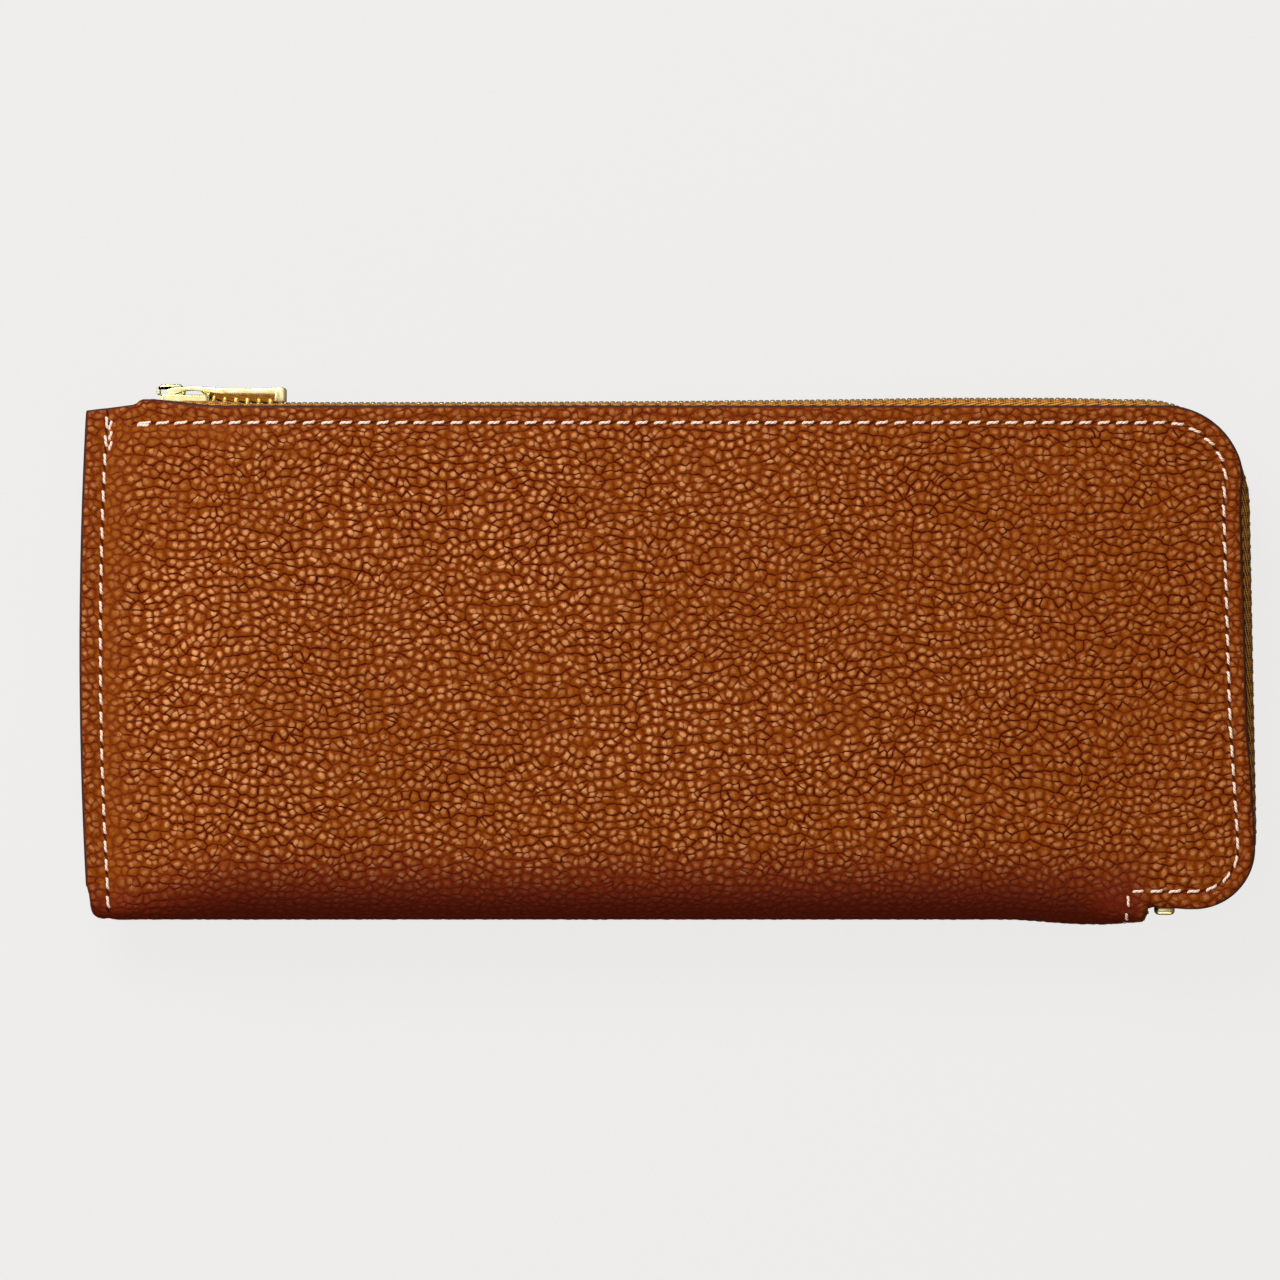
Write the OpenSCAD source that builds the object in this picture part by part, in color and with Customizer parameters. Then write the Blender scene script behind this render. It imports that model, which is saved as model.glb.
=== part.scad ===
// Long wallet with an L-shaped zip: one leather sheet folded along the bottom, sewn shut at the left,
// zipped along the top, round the top right corner and down the right side.
// It lies on its back panel. X runs along its length, Y from the fold to the zip, Z out of the front panel.

/* [Wallet] */
// Overall length, from the left seam to the zip on the right
wallet_l = 198; // [194:1:204]
// Overall height, from the fold to the top of the zip pull
wallet_h = 91.2; // [90:0.2:94]
// Overall thickness of the empty wallet
wallet_t = 20; // [20:0.5:22]
// Thickness of the outer leather
leather_t = 1.3; // [1.1:0.1:1.3]
// Thickness of the stiffening boards
board_t = 0.5; // [0.5:0.05:0.6]
// Thickness of the lining
lining_t = 0.6; // [0.4:0.1:0.6]
// Radius of the leather's top right corner
top_corner_r = 13.3; // [12:0.1:14]
// Radius of the leather's bottom right corner
low_corner_r = 10; // [9:0.1:11]
// Distance from the left edge of the wallet to its stitch line
left_stitch_in = 3.7; // [3.2:0.1:4]
// Distance from the zipped edges of the leather to the stitch line
stitch_in = 2.8; // [2.4:0.1:3.2]
// Length from one stitch to the next
stitch_pitch = 3.1; // [2.8:0.1:3.6]

/* [Left seam] */
// Thickness of the pressed left seam
seam_t = 5.2; // [5:0.1:6]
// Width of the flat pressed strip
seam_w = 4; // [3:0.5:5]
// Length over which the body swells to its full thickness
swell_l = 22; // [18:1:24]

/* [Zip] */
// Distance between two teeth of one row
tooth_pitch = 1.92; // [1.9:0.02:2.1]
// Height of the teeth, square to the tape
tooth_h = 1.8; // [1.6:0.1:1.8]
// Half of the closed chain's width
chain_half_w = 2; // [1.9:0.1:2.1]
// Thickness of the zip tape
tape_t = 0.5; // [0.4:0.05:0.5]
// Radius of the chain at the top right corner
zip_top_r = 17.3; // [16.5:0.1:18]
// Radius of the chain at the bottom right corner
zip_low_r = 12.9; // [12.5:0.1:13.5]
// Length of the slider
slider_l = 8.2; // [7.8:0.1:8.6]
// Width of the slider at its nose
slider_w = 7.4; // [7.2:0.1:7.8]
// Length of the pull, from its pin to its end
pull_l = 19.4; // [16:0.2:22]

/* [Inside] */
// Thickness of a card leaf and of a coin pocket leaf
leaf_t = 0.4; // [0.3:0.05:0.4]
// Height between two card rows' top edges
card_step = 10; // [8:0.5:11]
// Depth of the coin pocket, square to the panels
coin_gap = 4.25; // [4.1:0.05:4.4]

/* [Hidden] */
$fn = 64;

leather_c = [0.60, 0.29, 0.11];
lining_c = [0.72, 0.52, 0.36];
board_c = [0.80, 0.76, 0.68];
tape_c = [0.57, 0.36, 0.13];
gold_c = [0.88, 0.76, 0.42];
thread_c = [0.93, 0.85, 0.78];

far = 120;
mid_z = wallet_t / 2;
left_x = -wallet_l / 2;

// The leather's outline: the top edge is below the pull, the low edge is right of the fold's end
leather_top_y = wallet_h / 2 - 4;
leather_low_y = -wallet_h / 2 + 3;
leather_bottom_y = -wallet_h / 2 - 5;
top_c = [wallet_l / 2 - 2.5 - top_corner_r, leather_top_y - top_corner_r];
low_c = [wallet_l / 2 - 0.7 - low_corner_r, leather_low_y + low_corner_r];
seam_top_y = leather_top_y - 0.9;
lip_x = left_x + 8.7;
lip_y = leather_top_y + 0.6;
left_corner_r = 3;
arc_steps = 16;

// The fold along the bottom, which reaches a little lower at its right end
fold_end_x = wallet_l / 2 - 18.5;
fold_deep_x = fold_end_x - 18;
fold_deep = 0.8;
flat_x = fold_end_x + 0.05;
fold_y = -wallet_h / 2 + fold_deep + mid_z;
seam_x = left_x + seam_w;
full_x = seam_x + swell_l;

// The stack of layers in each panel
board_z = leather_t;
lining_z = leather_t + board_t;
inner_z = lining_z + lining_t;
coin_low_z = mid_z - 1.7;
coin_high_z = coin_low_z + 2 * leaf_t + coin_gap;

// The zip's chain line: [start x, top centre, top radius, low centre, low radius, end x]
chain_top_y = leather_top_y + 1.3 - tooth_h / 2;
chain_low_y = leather_low_y - 0.4;
zip_top_c = [wallet_l / 2 - 2 - zip_top_r, chain_top_y - zip_top_r];
zip_low_c = [wallet_l / 2 - tooth_h / 2 - zip_low_r, chain_low_y + zip_low_r];
zip_start_x = left_x + 10;
zip_end_x = fold_end_x + 0.3;
zip_line = [zip_start_x, zip_top_c, zip_top_r, zip_low_c, zip_low_r, zip_end_x];
tape_w = 9;
tape_flat = mid_z - 4.5;
tape_r = mid_z - leather_t - tape_t / 2 - tape_flat;
tape_gap = 0.02;
tooth_t = 0.84;
tooth_root_t = 1.1;
tooth_root_z = 0.9;
tooth_reach = 0.55;
first_tooth_x = left_x + 18.6;
stop_l = 1.3;
bottom_stop_l = 3.4;

// The slider and its pull, with the slider at the left end of the chain
slider_x = left_x + 13.6;
plate_t = 0.6;
channel_gap = 0.1;
flange_t = 0.5;
slot_half = 0.4;
plate_in_y = chain_top_y - tooth_h / 2 - channel_gap;
plate_out_y = chain_top_y + tooth_h / 2 + channel_gap;
slider_tail_w = slider_w - 1.2;
diamond_l = 3;
diamond_w = 1.6;
bridge_half = 2.4;
bridge_w = 2.2;
bridge_t = 0.65;
pin_r = 0.5;
pin_x = slider_x + 1.7;
pin_y = plate_out_y + plate_t + pin_r + 0.05;
bridge_top_y = pin_y + pin_r + 0.1 + bridge_t;
arm_in = 1.45;
pull_half_w = 2.3;
pull_top_y = wallet_h / 2;
pull_t = 1.4;
pull_body_x = pin_x + 3;
pull_block_l = 1.8;

// The crease that the front folds open on, from the zip's start to the fold's end, and its halves' gap
crease_a = [zip_start_x + 1, leather_top_y + 0.4];
crease_b = [fold_end_x, -wallet_h / 2 + 0.6];
crease_angle = atan2(crease_b.y - crease_a.y, crease_b.x - crease_a.x);
crease_z = 16;
cut_gap = 0.15;

// The coin pocket, which also divides the inside, and the crease that it tilts on
leaf_left_x = full_x - 2.6;
leaf_right_x = wallet_l / 2 - 11;
leaf_top_y = leather_top_y - 8.6;
leaf_low_y = fold_y - 0.2;
tilt_a = [leaf_left_x + 1.6, leaf_top_y];
tilt_b = [leaf_right_x, leaf_low_y - 1.2];
tilt_angle = atan2(tilt_b.y - tilt_a.y, tilt_b.x - tilt_a.x);
card_left_x = full_x + 0.5;
card_top_y = leaf_top_y - 9;

// The thread, which lies in a groove in the leather
thread_w = 0.6;
thread_t = 0.3;
thread_l = stitch_pitch - 0.7;
groove_half = 0.4;
groove_t = 0.35;
stitch_line = [full_x + 0.8, top_c, top_corner_r - stitch_in, low_c, low_corner_r - stitch_in,
               fold_end_x + 0.6];
left_stitch_x = left_x + left_stitch_in;

// Angle of the outward normal on the straight run that is tangent to both corners
function side_angle(l) =
    let (d = l[3] - l[1])
    atan2(d.y, d.x) + acos((l[2] - l[4]) / norm(d));
function top_len(l) = l[1].x - l[0];
function bend_len(r, angle) = r * angle * PI / 180;
function side_len(l) = sqrt(pow(norm(l[3] - l[1]), 2) - pow(l[2] - l[4], 2));
function to_side(l) = top_len(l) + bend_len(l[2], 90 - side_angle(l));
function to_low(l) = to_side(l) + side_len(l);
function to_bottom(l) = to_low(l) + bend_len(l[4], 90 + side_angle(l));
function line_len(l) = to_bottom(l) + l[3].x - l[5];
function spoke(c, r, a) = [c.x + r * cos(a), c.y + r * sin(a), a];

// Place and outward direction at the distance s along a line such as zip_line
function along(l, s) =
    s < top_len(l) ? [l[0] + s, l[1].y + l[2], 90]
    : s < to_side(l) ? spoke(l[1], l[2], 90 - (s - top_len(l)) / l[2] * 180 / PI)
    : s < to_low(l) ? side_point(l, s - to_side(l))
    : s < to_bottom(l) ? spoke(l[3], l[4], side_angle(l) - (s - to_low(l)) / l[4] * 180 / PI)
    : [l[3].x - (s - to_bottom(l)), l[3].y - l[4], -90];
function side_point(l, s) =
    let (a = side_angle(l), p = spoke(l[1], l[2], a))
    [p.x + s * sin(a), p.y - s * cos(a), a];

// Distances along a line such as zip_line where its ends, corners and corner steps are
function marks(l) = [
    0,
    for (i = [0:arc_steps]) top_len(l) + (to_side(l) - top_len(l)) * i / arc_steps,
    for (i = [0:arc_steps]) to_low(l) + (to_bottom(l) - to_low(l)) * i / arc_steps,
    line_len(l)
];

// The point beside a place on a line, at the distance n outwards
function beside(p, n) = [p.x + n * cos(p.z), p.y + n * sin(p.z)];

// A flat strip along a line such as zip_line
module strip(l, half_w) {
    m = marks(l);
    polygon([
        for (s = m) beside(along(l, s), half_w),
        for (i = [len(m) - 1:-1:0]) beside(along(l, m[i]), -half_w)
    ]);
}

// Points along an arc between two angles
function arc_points(c, r, from, to) = [
    for (i = [0:arc_steps])
        let (a = from + (to - from) * i / arc_steps)
        [c.x + r * cos(a), c.y + r * sin(a)]
];

// The panels' outline, moved in by inset from the zipped edges and by left_in from the left edge
module outline(inset = 0, left_in = 0) {
    top_r = top_corner_r - inset;
    low_r = low_corner_r - inset;
    a = side_angle([0, top_c, top_r, low_c, low_r]);
    left_c = [left_x + left_in + left_corner_r, fold_y - mid_z + left_corner_r];
    polygon([
        [left_c.x, leather_bottom_y],
        each arc_points(left_c, left_corner_r, 270, 180),
        [left_x + left_in, seam_top_y - inset],
        [lip_x, lip_y - inset],
        [lip_x + 1.5, leather_top_y - inset],
        each arc_points(top_c, top_r, 90, a),
        each arc_points(low_c, low_r, a, -90),
        [fold_end_x, leather_low_y + inset],
        [fold_end_x, leather_bottom_y]
    ]);
}

module outline_block(inset = 0, left_in = 0) {
    translate([0, 0, -1])
        linear_extrude(wallet_t + 2)
            outline(inset, left_in);
}

// A stretch of the closed body between two X values, with a round bottom edge
module folded_stretch(from_x, to_x, half_t, centre_y) {
    translate([from_x, 0, 0])
        rotate([90, 0, 90])
            linear_extrude(to_x - from_x) {
                translate([centre_y, mid_z])
                    circle(half_t);
                translate([centre_y, mid_z - half_t])
                    square([far, 2 * half_t]);
            }
}

// The space between the two panels, moved in by t, which swells from the left seam to full thickness
module swell_space(t) {
    seam_half = seam_t / 2 - t;
    translate([0, far, 0])
        rotate([90, 0, 0])
            linear_extrude(2 * far)
                polygon([
                    [left_x - 1, mid_z - seam_half],
                    [seam_x, mid_z - seam_half],
                    [full_x, t],
                    [2 * far, t],
                    [2 * far, wallet_t - t],
                    [full_x, wallet_t - t],
                    [seam_x, mid_z + seam_half],
                    [left_x - 1, mid_z + seam_half]
                ]);
}

// The space inside the body's outer surface, moved in by t, with the fold's right end deeper by deep
module body_space(t, deep = fold_deep) {
    half_t = mid_z - t;
    intersection() {
        union() {
            folded_stretch(left_x - 1, fold_deep_x, half_t, fold_y);
            folded_stretch(fold_deep_x, flat_x, half_t, fold_y - deep);
            translate([flat_x, -far, t])
                cube([far, 2 * far, 2 * half_t]);
        }
        swell_space(t);
    }
}

// Everything on the corner's side of the front's crease, from a height upwards
module past_front_crease(gap, from_z) {
    translate([crease_a.x, crease_a.y, from_z])
        rotate([0, 0, crease_angle])
            translate([-far, gap, 0])
                cube([4 * far, 2 * far, far]);
}

// Everything on the corner's side of the coin pocket's crease
module past_pocket_crease(gap) {
    translate([tilt_a.x, tilt_a.y, -1])
        rotate([0, 0, tilt_angle])
            translate([-far, gap, 0])
                cube([4 * far, 2 * far, far]);
}

module keep_fixed_part() {
    difference() {
        children();
        past_front_crease(-cut_gap, crease_z - 2 * cut_gap);
    }
}

module keep_corner() {
    intersection() {
        children();
        past_front_crease(cut_gap, crease_z);
    }
}

// The grooves that the thread lies in on one panel. side is 1 at the front and -1 at the back
module thread_grooves(side) {
    depth = 2 * groove_t;
    translate([0, 0, mid_z + side * mid_z - groove_t])
        linear_extrude(depth)
            strip(stitch_line, groove_half);
    translate([left_stitch_x - groove_half, fold_y, mid_z + side * seam_t / 2 - groove_t])
        cube([2 * groove_half, seam_top_y - 1.5 - fold_y, depth]);
}

module leather_sheet() {
    difference() {
        intersection() {
            body_space(0);
            outline_block();
        }
        body_space(leather_t);
        thread_grooves(1);
        thread_grooves(-1);
    }
}

module outer_leather() {
    color(leather_c)
        keep_fixed_part() leather_sheet();
}

module outer_leather_corner() {
    color(leather_c)
        keep_corner() leather_sheet();
}

// A stiffening board between the leather and the lining, clear of the zip tape
module board(z) {
    right_x = wallet_l / 2 - 13;
    top_y = leather_top_y - 10.1;
    translate([0, 0, z])
        linear_extrude(board_t)
            polygon([
                [full_x + 3, fold_y],
                [fold_end_x - 0.5, fold_y],
                [right_x, fold_y + 6.5],
                [right_x, top_y - 7.5],
                [right_x - 8, top_y],
                [full_x + 3, top_y]
            ]);
}

module front_board() {
    color(board_c)
        keep_fixed_part() board(wallet_t - board_z - board_t);
}

module front_board_corner() {
    color(board_c)
        keep_corner() board(wallet_t - board_z - board_t);
}

module back_board() {
    color(board_c)
        board(board_z);
}

module lining_sheet() {
    difference() {
        intersection() {
            body_space(lining_z, 0);
            outline_block(3.5, 0.6);
        }
        body_space(inner_z, 0);
    }
}

module lining() {
    color(lining_c)
        keep_fixed_part() lining_sheet();
}

module lining_corner() {
    color(lining_c)
        keep_corner() lining_sheet();
}

// Cloth strip sewn into the left seam, with the wall that closes the left end inside
module left_gusset() {
    strip_t = 0.3;
    low_y = fold_y + 1.6;
    wall_low_z = inner_z + 1.3;
    color(lining_c) {
        translate([left_x + 1, low_y, mid_z - strip_t / 2])
            cube([leaf_left_x - 0.4 - left_x - 1, leaf_top_y + 2 - low_y, strip_t]);
        translate([leaf_left_x - 0.4, low_y, wall_low_z])
            cube([0.4, leaf_top_y - low_y, wallet_t - 2 * wall_low_z]);
    }
}

// A card leaf: number 0 is the backing, and each next one lies in front and stops lower
module card_leaf(number) {
    top_y = number == 0 ? leaf_top_y : card_top_y - (number - 1) * card_step;
    color(lining_c)
        translate([card_left_x, leaf_low_y + 0.8, inner_z + number * leaf_t])
            cube([leaf_right_x - 2 - card_left_x, top_y - leaf_low_y - 0.8, leaf_t]);
}

module card_backing() {
    card_leaf(0);
}

module card_row_1() {
    card_leaf(1);
}

module card_row_2() {
    card_leaf(2);
}

module card_row_3() {
    card_leaf(3);
}

// The coin pocket's sheet: a back leaf, a round bottom and a front leaf
module pocket_sheet() {
    pocket_z = (coin_low_z + coin_high_z) / 2;
    outer_r = (coin_high_z - coin_low_z) / 2;
    translate([leaf_left_x, 0, 0])
        rotate([90, 0, 90])
            linear_extrude(leaf_right_x - leaf_left_x)
                difference() {
                    union() {
                        translate([leaf_low_y, pocket_z]) circle(outer_r);
                        translate([leaf_low_y, coin_low_z])
                            square([leaf_top_y - leaf_low_y, 2 * outer_r]);
                    }
                    translate([leaf_low_y, pocket_z]) circle(outer_r - leaf_t);
                    translate([leaf_low_y, coin_low_z + leaf_t])
                        square([far, coin_gap]);
                }
}

module coin_pocket() {
    color(lining_c)
        difference() {
            pocket_sheet();
            past_pocket_crease(-cut_gap);
        }
}

module coin_pocket_corner() {
    color(lining_c)
        intersection() {
            pocket_sheet();
            past_pocket_crease(cut_gap);
        }
}

// The strip that closes the coin pocket at its right end
module coin_pocket_side() {
    color(lining_c)
        translate([leaf_right_x - leaf_t, leaf_low_y + 0.7, coin_low_z + leaf_t])
            cube([leaf_t, leaf_top_y - leaf_low_y - 0.7, coin_gap]);
}

// Half of the tape's section: flat beside the chain, round the edge, then flat under the leather
tape_section = [
    [-tape_t / 2, chain_half_w + tape_gap],
    [tape_t / 2, chain_half_w + tape_gap],
    each [for (a = [0:15:90]) tape_arc(tape_r + tape_t / 2, a)],
    [-tape_w, tape_flat + tape_r + tape_t / 2],
    [-tape_w, tape_flat + tape_r - tape_t / 2],
    each [for (a = [90:-15:0]) tape_arc(tape_r - tape_t / 2, a)]
];
function tape_arc(r, a) = [r * cos(a) - tape_r, r * sin(a) + tape_flat];

// How far a height on the section is squeezed towards the chain, where the body narrows at the left
function squeezed(z, x) =
    let (
        full = mid_z - leather_t,
        room = min(full, seam_t / 2 - leather_t + (x - seam_x) * (mid_z - seam_t / 2) / swell_l),
        low = chain_half_w + tape_gap
    )
    low + (z - low) * (room - low) / (full - low);

// One side's tape. side is 1 at the front and -1 at the back
module tape(side) {
    swell_end = full_x - zip_start_x;
    m = concat([0, swell_end], [for (s = marks(zip_line)) if (s > swell_end) s]);
    count = len(tape_section);
    points = [
        for (s = m)
            let (p = along(zip_line, s))
            for (q = tape_section)
                let (b = beside(p, q.x))
                [b.x, b.y, squeezed(q.y, p.x)]
    ];
    walls = [
        for (i = [0:len(m) - 2], j = [0:count - 1])
            let (k = (j + 1) % count)
            [i * count + j, i * count + k, (i + 1) * count + k, (i + 1) * count + j]
    ];
    ends = [
        [for (j = [count - 1:-1:0]) j],
        [for (j = [0:count - 1]) (len(m) - 1) * count + j]
    ];
    translate([0, 0, mid_z])
        mirror([0, 0, side > 0 ? 0 : 1])
            polyhedron(points, concat(walls, ends));
}

module zip_tape_back() {
    color(tape_c)
        tape(-1);
}

module zip_tape_front() {
    color(tape_c)
        intersection() {
            tape(1);
            past_front_crease(cut_gap, 0);
        }
}

// One tooth, its root clamped on the tape and its head reaching past the middle
module tooth() {
    translate([-tooth_h / 2, 0, 0])
        rotate([90, 0, 90])
            linear_extrude(tooth_h)
                polygon([
                    [-tooth_t / 2, -tooth_reach],
                    [tooth_t / 2, -tooth_reach],
                    [tooth_t / 2, tooth_root_z],
                    [tooth_root_t / 2, tooth_root_z],
                    [tooth_root_t / 2, chain_half_w],
                    [-tooth_root_t / 2, chain_half_w],
                    [-tooth_root_t / 2, tooth_root_z],
                    [-tooth_t / 2, tooth_root_z]
                ]);
}

// One row of teeth, from under the slider to the bottom stop
module teeth(side) {
    start = first_tooth_x - zip_start_x + (side > 0 ? 0 : tooth_pitch / 2);
    end = line_len(zip_line) - bottom_stop_l - tooth_pitch;
    color(gold_c)
        for (s = [start:tooth_pitch:end]) {
            p = along(zip_line, s);
            translate([p.x, p.y, mid_z])
                rotate([0, 0, p.z])
                    scale([1, 1, side])
                        tooth();
        }
}

module zip_teeth_back() {
    teeth(-1);
}

module zip_teeth_front() {
    teeth(1);
}

// The stop at the open end of one row
module top_stop(side) {
    stop_w = chain_half_w - 0.5;
    color(gold_c)
        translate([slider_x - 0.6 - stop_l, chain_top_y - tooth_h / 2,
                   side > 0 ? mid_z + 0.5 : mid_z - 0.5 - stop_w])
            cube([stop_l, tooth_h, stop_w]);
}

module top_stop_back() {
    top_stop(-1);
}

module top_stop_front() {
    top_stop(1);
}

// The clamp that joins both rows where the zip ends beside the fold
module bottom_stop() {
    color(gold_c)
        translate([zip_end_x + 1, chain_low_y - tooth_h / 2, mid_z - chain_half_w])
            cube([bottom_stop_l, tooth_h, 2 * chain_half_w]);
}

// Cloth tab that leads the zip's end into the fold, between the lining and the leather
module zip_end_tab() {
    tab_l = 7;
    tab_w = 3.6;
    tab_t = 0.5;
    color(tape_c)
        translate([fold_end_x + 1 - tab_l, chain_low_y - 0.8, mid_z - tab_w / 2])
            cube([tab_l, tab_t, tab_w]);
}

// Slider plate outline, in X and Z, wide at the nose and narrow at the tail
module slider_outline(inset = 0) {
    nose = slider_w / 2 - inset;
    tail = slider_tail_w / 2 - inset;
    polygon([
        [0, -nose + 0.8],
        [0.8, -nose],
        [slider_l * 0.45, -nose],
        [slider_l, -tail],
        [slider_l, tail],
        [slider_l * 0.45, nose],
        [0.8, nose],
        [0, nose - 0.8]
    ]);
}

// Moves a shape drawn in X and Z, with its thickness along Y from low_y
module lay_across(low_y, t) {
    translate([slider_x, low_y + t, mid_z])
        rotate([90, 0, 0])
            linear_extrude(t)
                children();
}

// The two plates, their flanges with the slot for the tape, and the diamond between the rows
module slider_body() {
    channel = plate_out_y - plate_in_y;
    flange_h = channel / 2 - slot_half;
    color(gold_c) {
        lay_across(plate_in_y - plate_t, plate_t) slider_outline();
        lay_across(plate_out_y, plate_t) slider_outline();
        for (low_y = [plate_in_y, plate_out_y - flange_h])
            lay_across(low_y, flange_h)
                intersection() {
                    difference() {
                        slider_outline();
                        slider_outline(flange_t);
                    }
                    for (side = [-1, 1])
                        translate([1, side > 0 ? slider_tail_w / 2 - flange_t : -slider_w])
                            square([slider_l, slider_w - slider_tail_w / 2 + flange_t]);
                }
        lay_across(plate_in_y, channel)
            polygon([
                [0.2, 0],
                [0.9, -diamond_w / 2],
                [diamond_l, 0],
                [0.9, diamond_w / 2]
            ]);
    }
}

// The arch over the pull's pin
module slider_bridge() {
    foot_y = plate_out_y + plate_t;
    color(gold_c)
        translate([pin_x, 0, mid_z - bridge_w / 2])
            linear_extrude(bridge_w)
                difference() {
                    polygon([
                        [-bridge_half, foot_y],
                        [-bridge_half, bridge_top_y - 0.8],
                        [-bridge_half + 0.8, bridge_top_y],
                        [bridge_half - 0.8, bridge_top_y],
                        [bridge_half, bridge_top_y - 0.8],
                        [bridge_half, foot_y]
                    ]);
                    translate([-bridge_half + bridge_t, foot_y - 1])
                        square([2 * (bridge_half - bridge_t), bridge_top_y - bridge_t - foot_y + 1]);
                }
}

// The slim bar pull: its pin under the arch, two arms, the bar and its end block
module pull_tab() {
    arm_w = pull_half_w - arm_in;
    body_l = pin_x + pull_l - pull_body_x;
    color(gold_c) {
        translate([pin_x, pin_y, mid_z - pull_half_w])
            cylinder(h = 2 * pull_half_w, r = pin_r);
        for (z = [mid_z - pull_half_w, mid_z + arm_in])
            translate([pin_x, pin_y - pin_r, z])
                cube([pull_body_x - pin_x + 1, 2 * pin_r, arm_w]);
        translate([pull_body_x, pull_top_y - pull_t, mid_z - pull_half_w])
            cube([body_l, pull_t, 2 * pull_half_w]);
        translate([pull_body_x + body_l - pull_block_l, chain_top_y + tooth_h / 2 + 0.1,
                   mid_z - pull_half_w])
            cube([pull_block_l, pull_top_y - chain_top_y - tooth_h / 2 - 0.2, 2 * pull_half_w]);
    }
}

module stitch(p, low_z) {
    translate([p.x, p.y, low_z])
        rotate([0, 0, p.z])
            translate([-thread_w / 2, -thread_l / 2, 0])
                cube([thread_w, thread_l, thread_t]);
}

// Stitches along the zipped edges, where the panels have their full thickness
module edge_stitches(low_z) {
    color(thread_c)
        for (s = [stitch_pitch / 2 + 0.4:stitch_pitch:line_len(stitch_line) - thread_l / 2 - 0.2])
            stitch(along(stitch_line, s), low_z);
}

module left_seam_thread() {
    groove_low = seam_t / 2 - groove_t;
    color(thread_c)
        for (y = [fold_y + stitch_pitch / 2 + 0.2:stitch_pitch:seam_top_y - 3.2])
            for (low_z = [mid_z + groove_low, mid_z - groove_low - thread_t])
                stitch([left_stitch_x, y, 0], low_z);
}

module front_thread() {
    edge_stitches(wallet_t - groove_t);
}

module back_thread() {
    edge_stitches(groove_t - thread_t);
}

outer_leather();
outer_leather_corner();
front_board();
front_board_corner();
back_board();
lining();
lining_corner();
left_gusset();
card_backing();
card_row_1();
card_row_2();
card_row_3();
coin_pocket();
coin_pocket_corner();
coin_pocket_side();
zip_tape_back();
zip_tape_front();
zip_teeth_back();
zip_teeth_front();
top_stop_back();
top_stop_front();
bottom_stop();
zip_end_tab();
slider_body();
slider_bridge();
pull_tab();
left_seam_thread();
front_thread();
back_thread();
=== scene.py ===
"""Looks of the long wallet with an L-shaped zip. Shapes are worked out in millimetres and made in metres."""
import math

import bmesh
import bpy
import numpy as np
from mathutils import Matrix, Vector


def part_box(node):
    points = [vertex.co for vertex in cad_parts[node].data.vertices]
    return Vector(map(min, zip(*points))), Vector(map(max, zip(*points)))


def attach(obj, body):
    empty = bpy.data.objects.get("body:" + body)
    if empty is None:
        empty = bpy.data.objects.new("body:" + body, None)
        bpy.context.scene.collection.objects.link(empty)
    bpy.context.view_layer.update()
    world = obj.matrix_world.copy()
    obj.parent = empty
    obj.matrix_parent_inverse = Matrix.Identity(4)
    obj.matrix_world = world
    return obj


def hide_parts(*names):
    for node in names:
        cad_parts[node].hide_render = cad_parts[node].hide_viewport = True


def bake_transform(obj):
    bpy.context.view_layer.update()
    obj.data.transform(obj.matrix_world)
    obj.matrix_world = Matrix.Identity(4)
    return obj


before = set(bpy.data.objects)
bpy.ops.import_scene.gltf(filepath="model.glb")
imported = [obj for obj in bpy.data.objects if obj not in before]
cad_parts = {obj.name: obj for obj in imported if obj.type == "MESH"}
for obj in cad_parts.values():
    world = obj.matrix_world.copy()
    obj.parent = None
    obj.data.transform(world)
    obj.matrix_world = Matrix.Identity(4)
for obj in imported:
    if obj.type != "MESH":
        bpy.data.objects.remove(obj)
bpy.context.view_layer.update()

MM = 0.001
RIGHT_ANGLE = math.pi / 2


def node_box(name):
    """Lowest and highest corner of a CAD node, in millimetres."""
    low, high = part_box(name)
    return np.array(low) / MM, np.array(high) / MM


# Sizes from the frame
SHEET_LOW = node_box("outer_leather")[0]
CORNER_HIGH = node_box("outer_leather_corner")[1]
STOP_LOW = node_box("bottom_stop")[0]
TEETH_LOW, TEETH_HIGH = node_box("zip_teeth_front")
SLIDER_LOW, SLIDER_HIGH = node_box("slider_body")
PULL_LOW, PULL_HIGH = node_box("pull_tab")
BOARD_LOW, BOARD_HIGH = node_box("back_board")
LEFT = SHEET_LOW[0]
BOTTOM = SHEET_LOW[1]
TOP = CORNER_HIGH[1]
LOW_EDGE = BOTTOM + 3
RIGHT = CORNER_HIGH[0]
MID = CORNER_HIGH[2] / 2
FOLD_END = STOP_LOW[0] - 1.3

# The outer leather
LEATHER_T = 1.3
SEAM_HALF = 2.6
SEAM_X = LEFT + 4
SWELL = 22
FOLD_RISE = 0.8
CORNER_R = 3.2
END_R = 1.3
LEFT_BULGE = 1.2
TOP_R = 13.3
LOW_R = 10
TOP_C = np.array([RIGHT + 0.2 - 2 - TOP_R, TOP - TOP_R])
LOW_C = np.array([RIGHT - LOW_R, LOW_EDGE + LOW_R])
LIP_FROM = LEFT + 9.4
CELL = 0.5
EDGE_STEPS = [0, 0.13, 0.3, 0.55, 0.9, 1.3, 1.75]
FOLD_ROWS = 28
RELIEF = 0.42
DOME = 0.5

# The stitches
STITCH_IN = 2.8
LEFT_STITCH_IN = 3.5
PITCH = 3.1
STITCH_L = 2.3
SLANT = math.radians(16)

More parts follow.
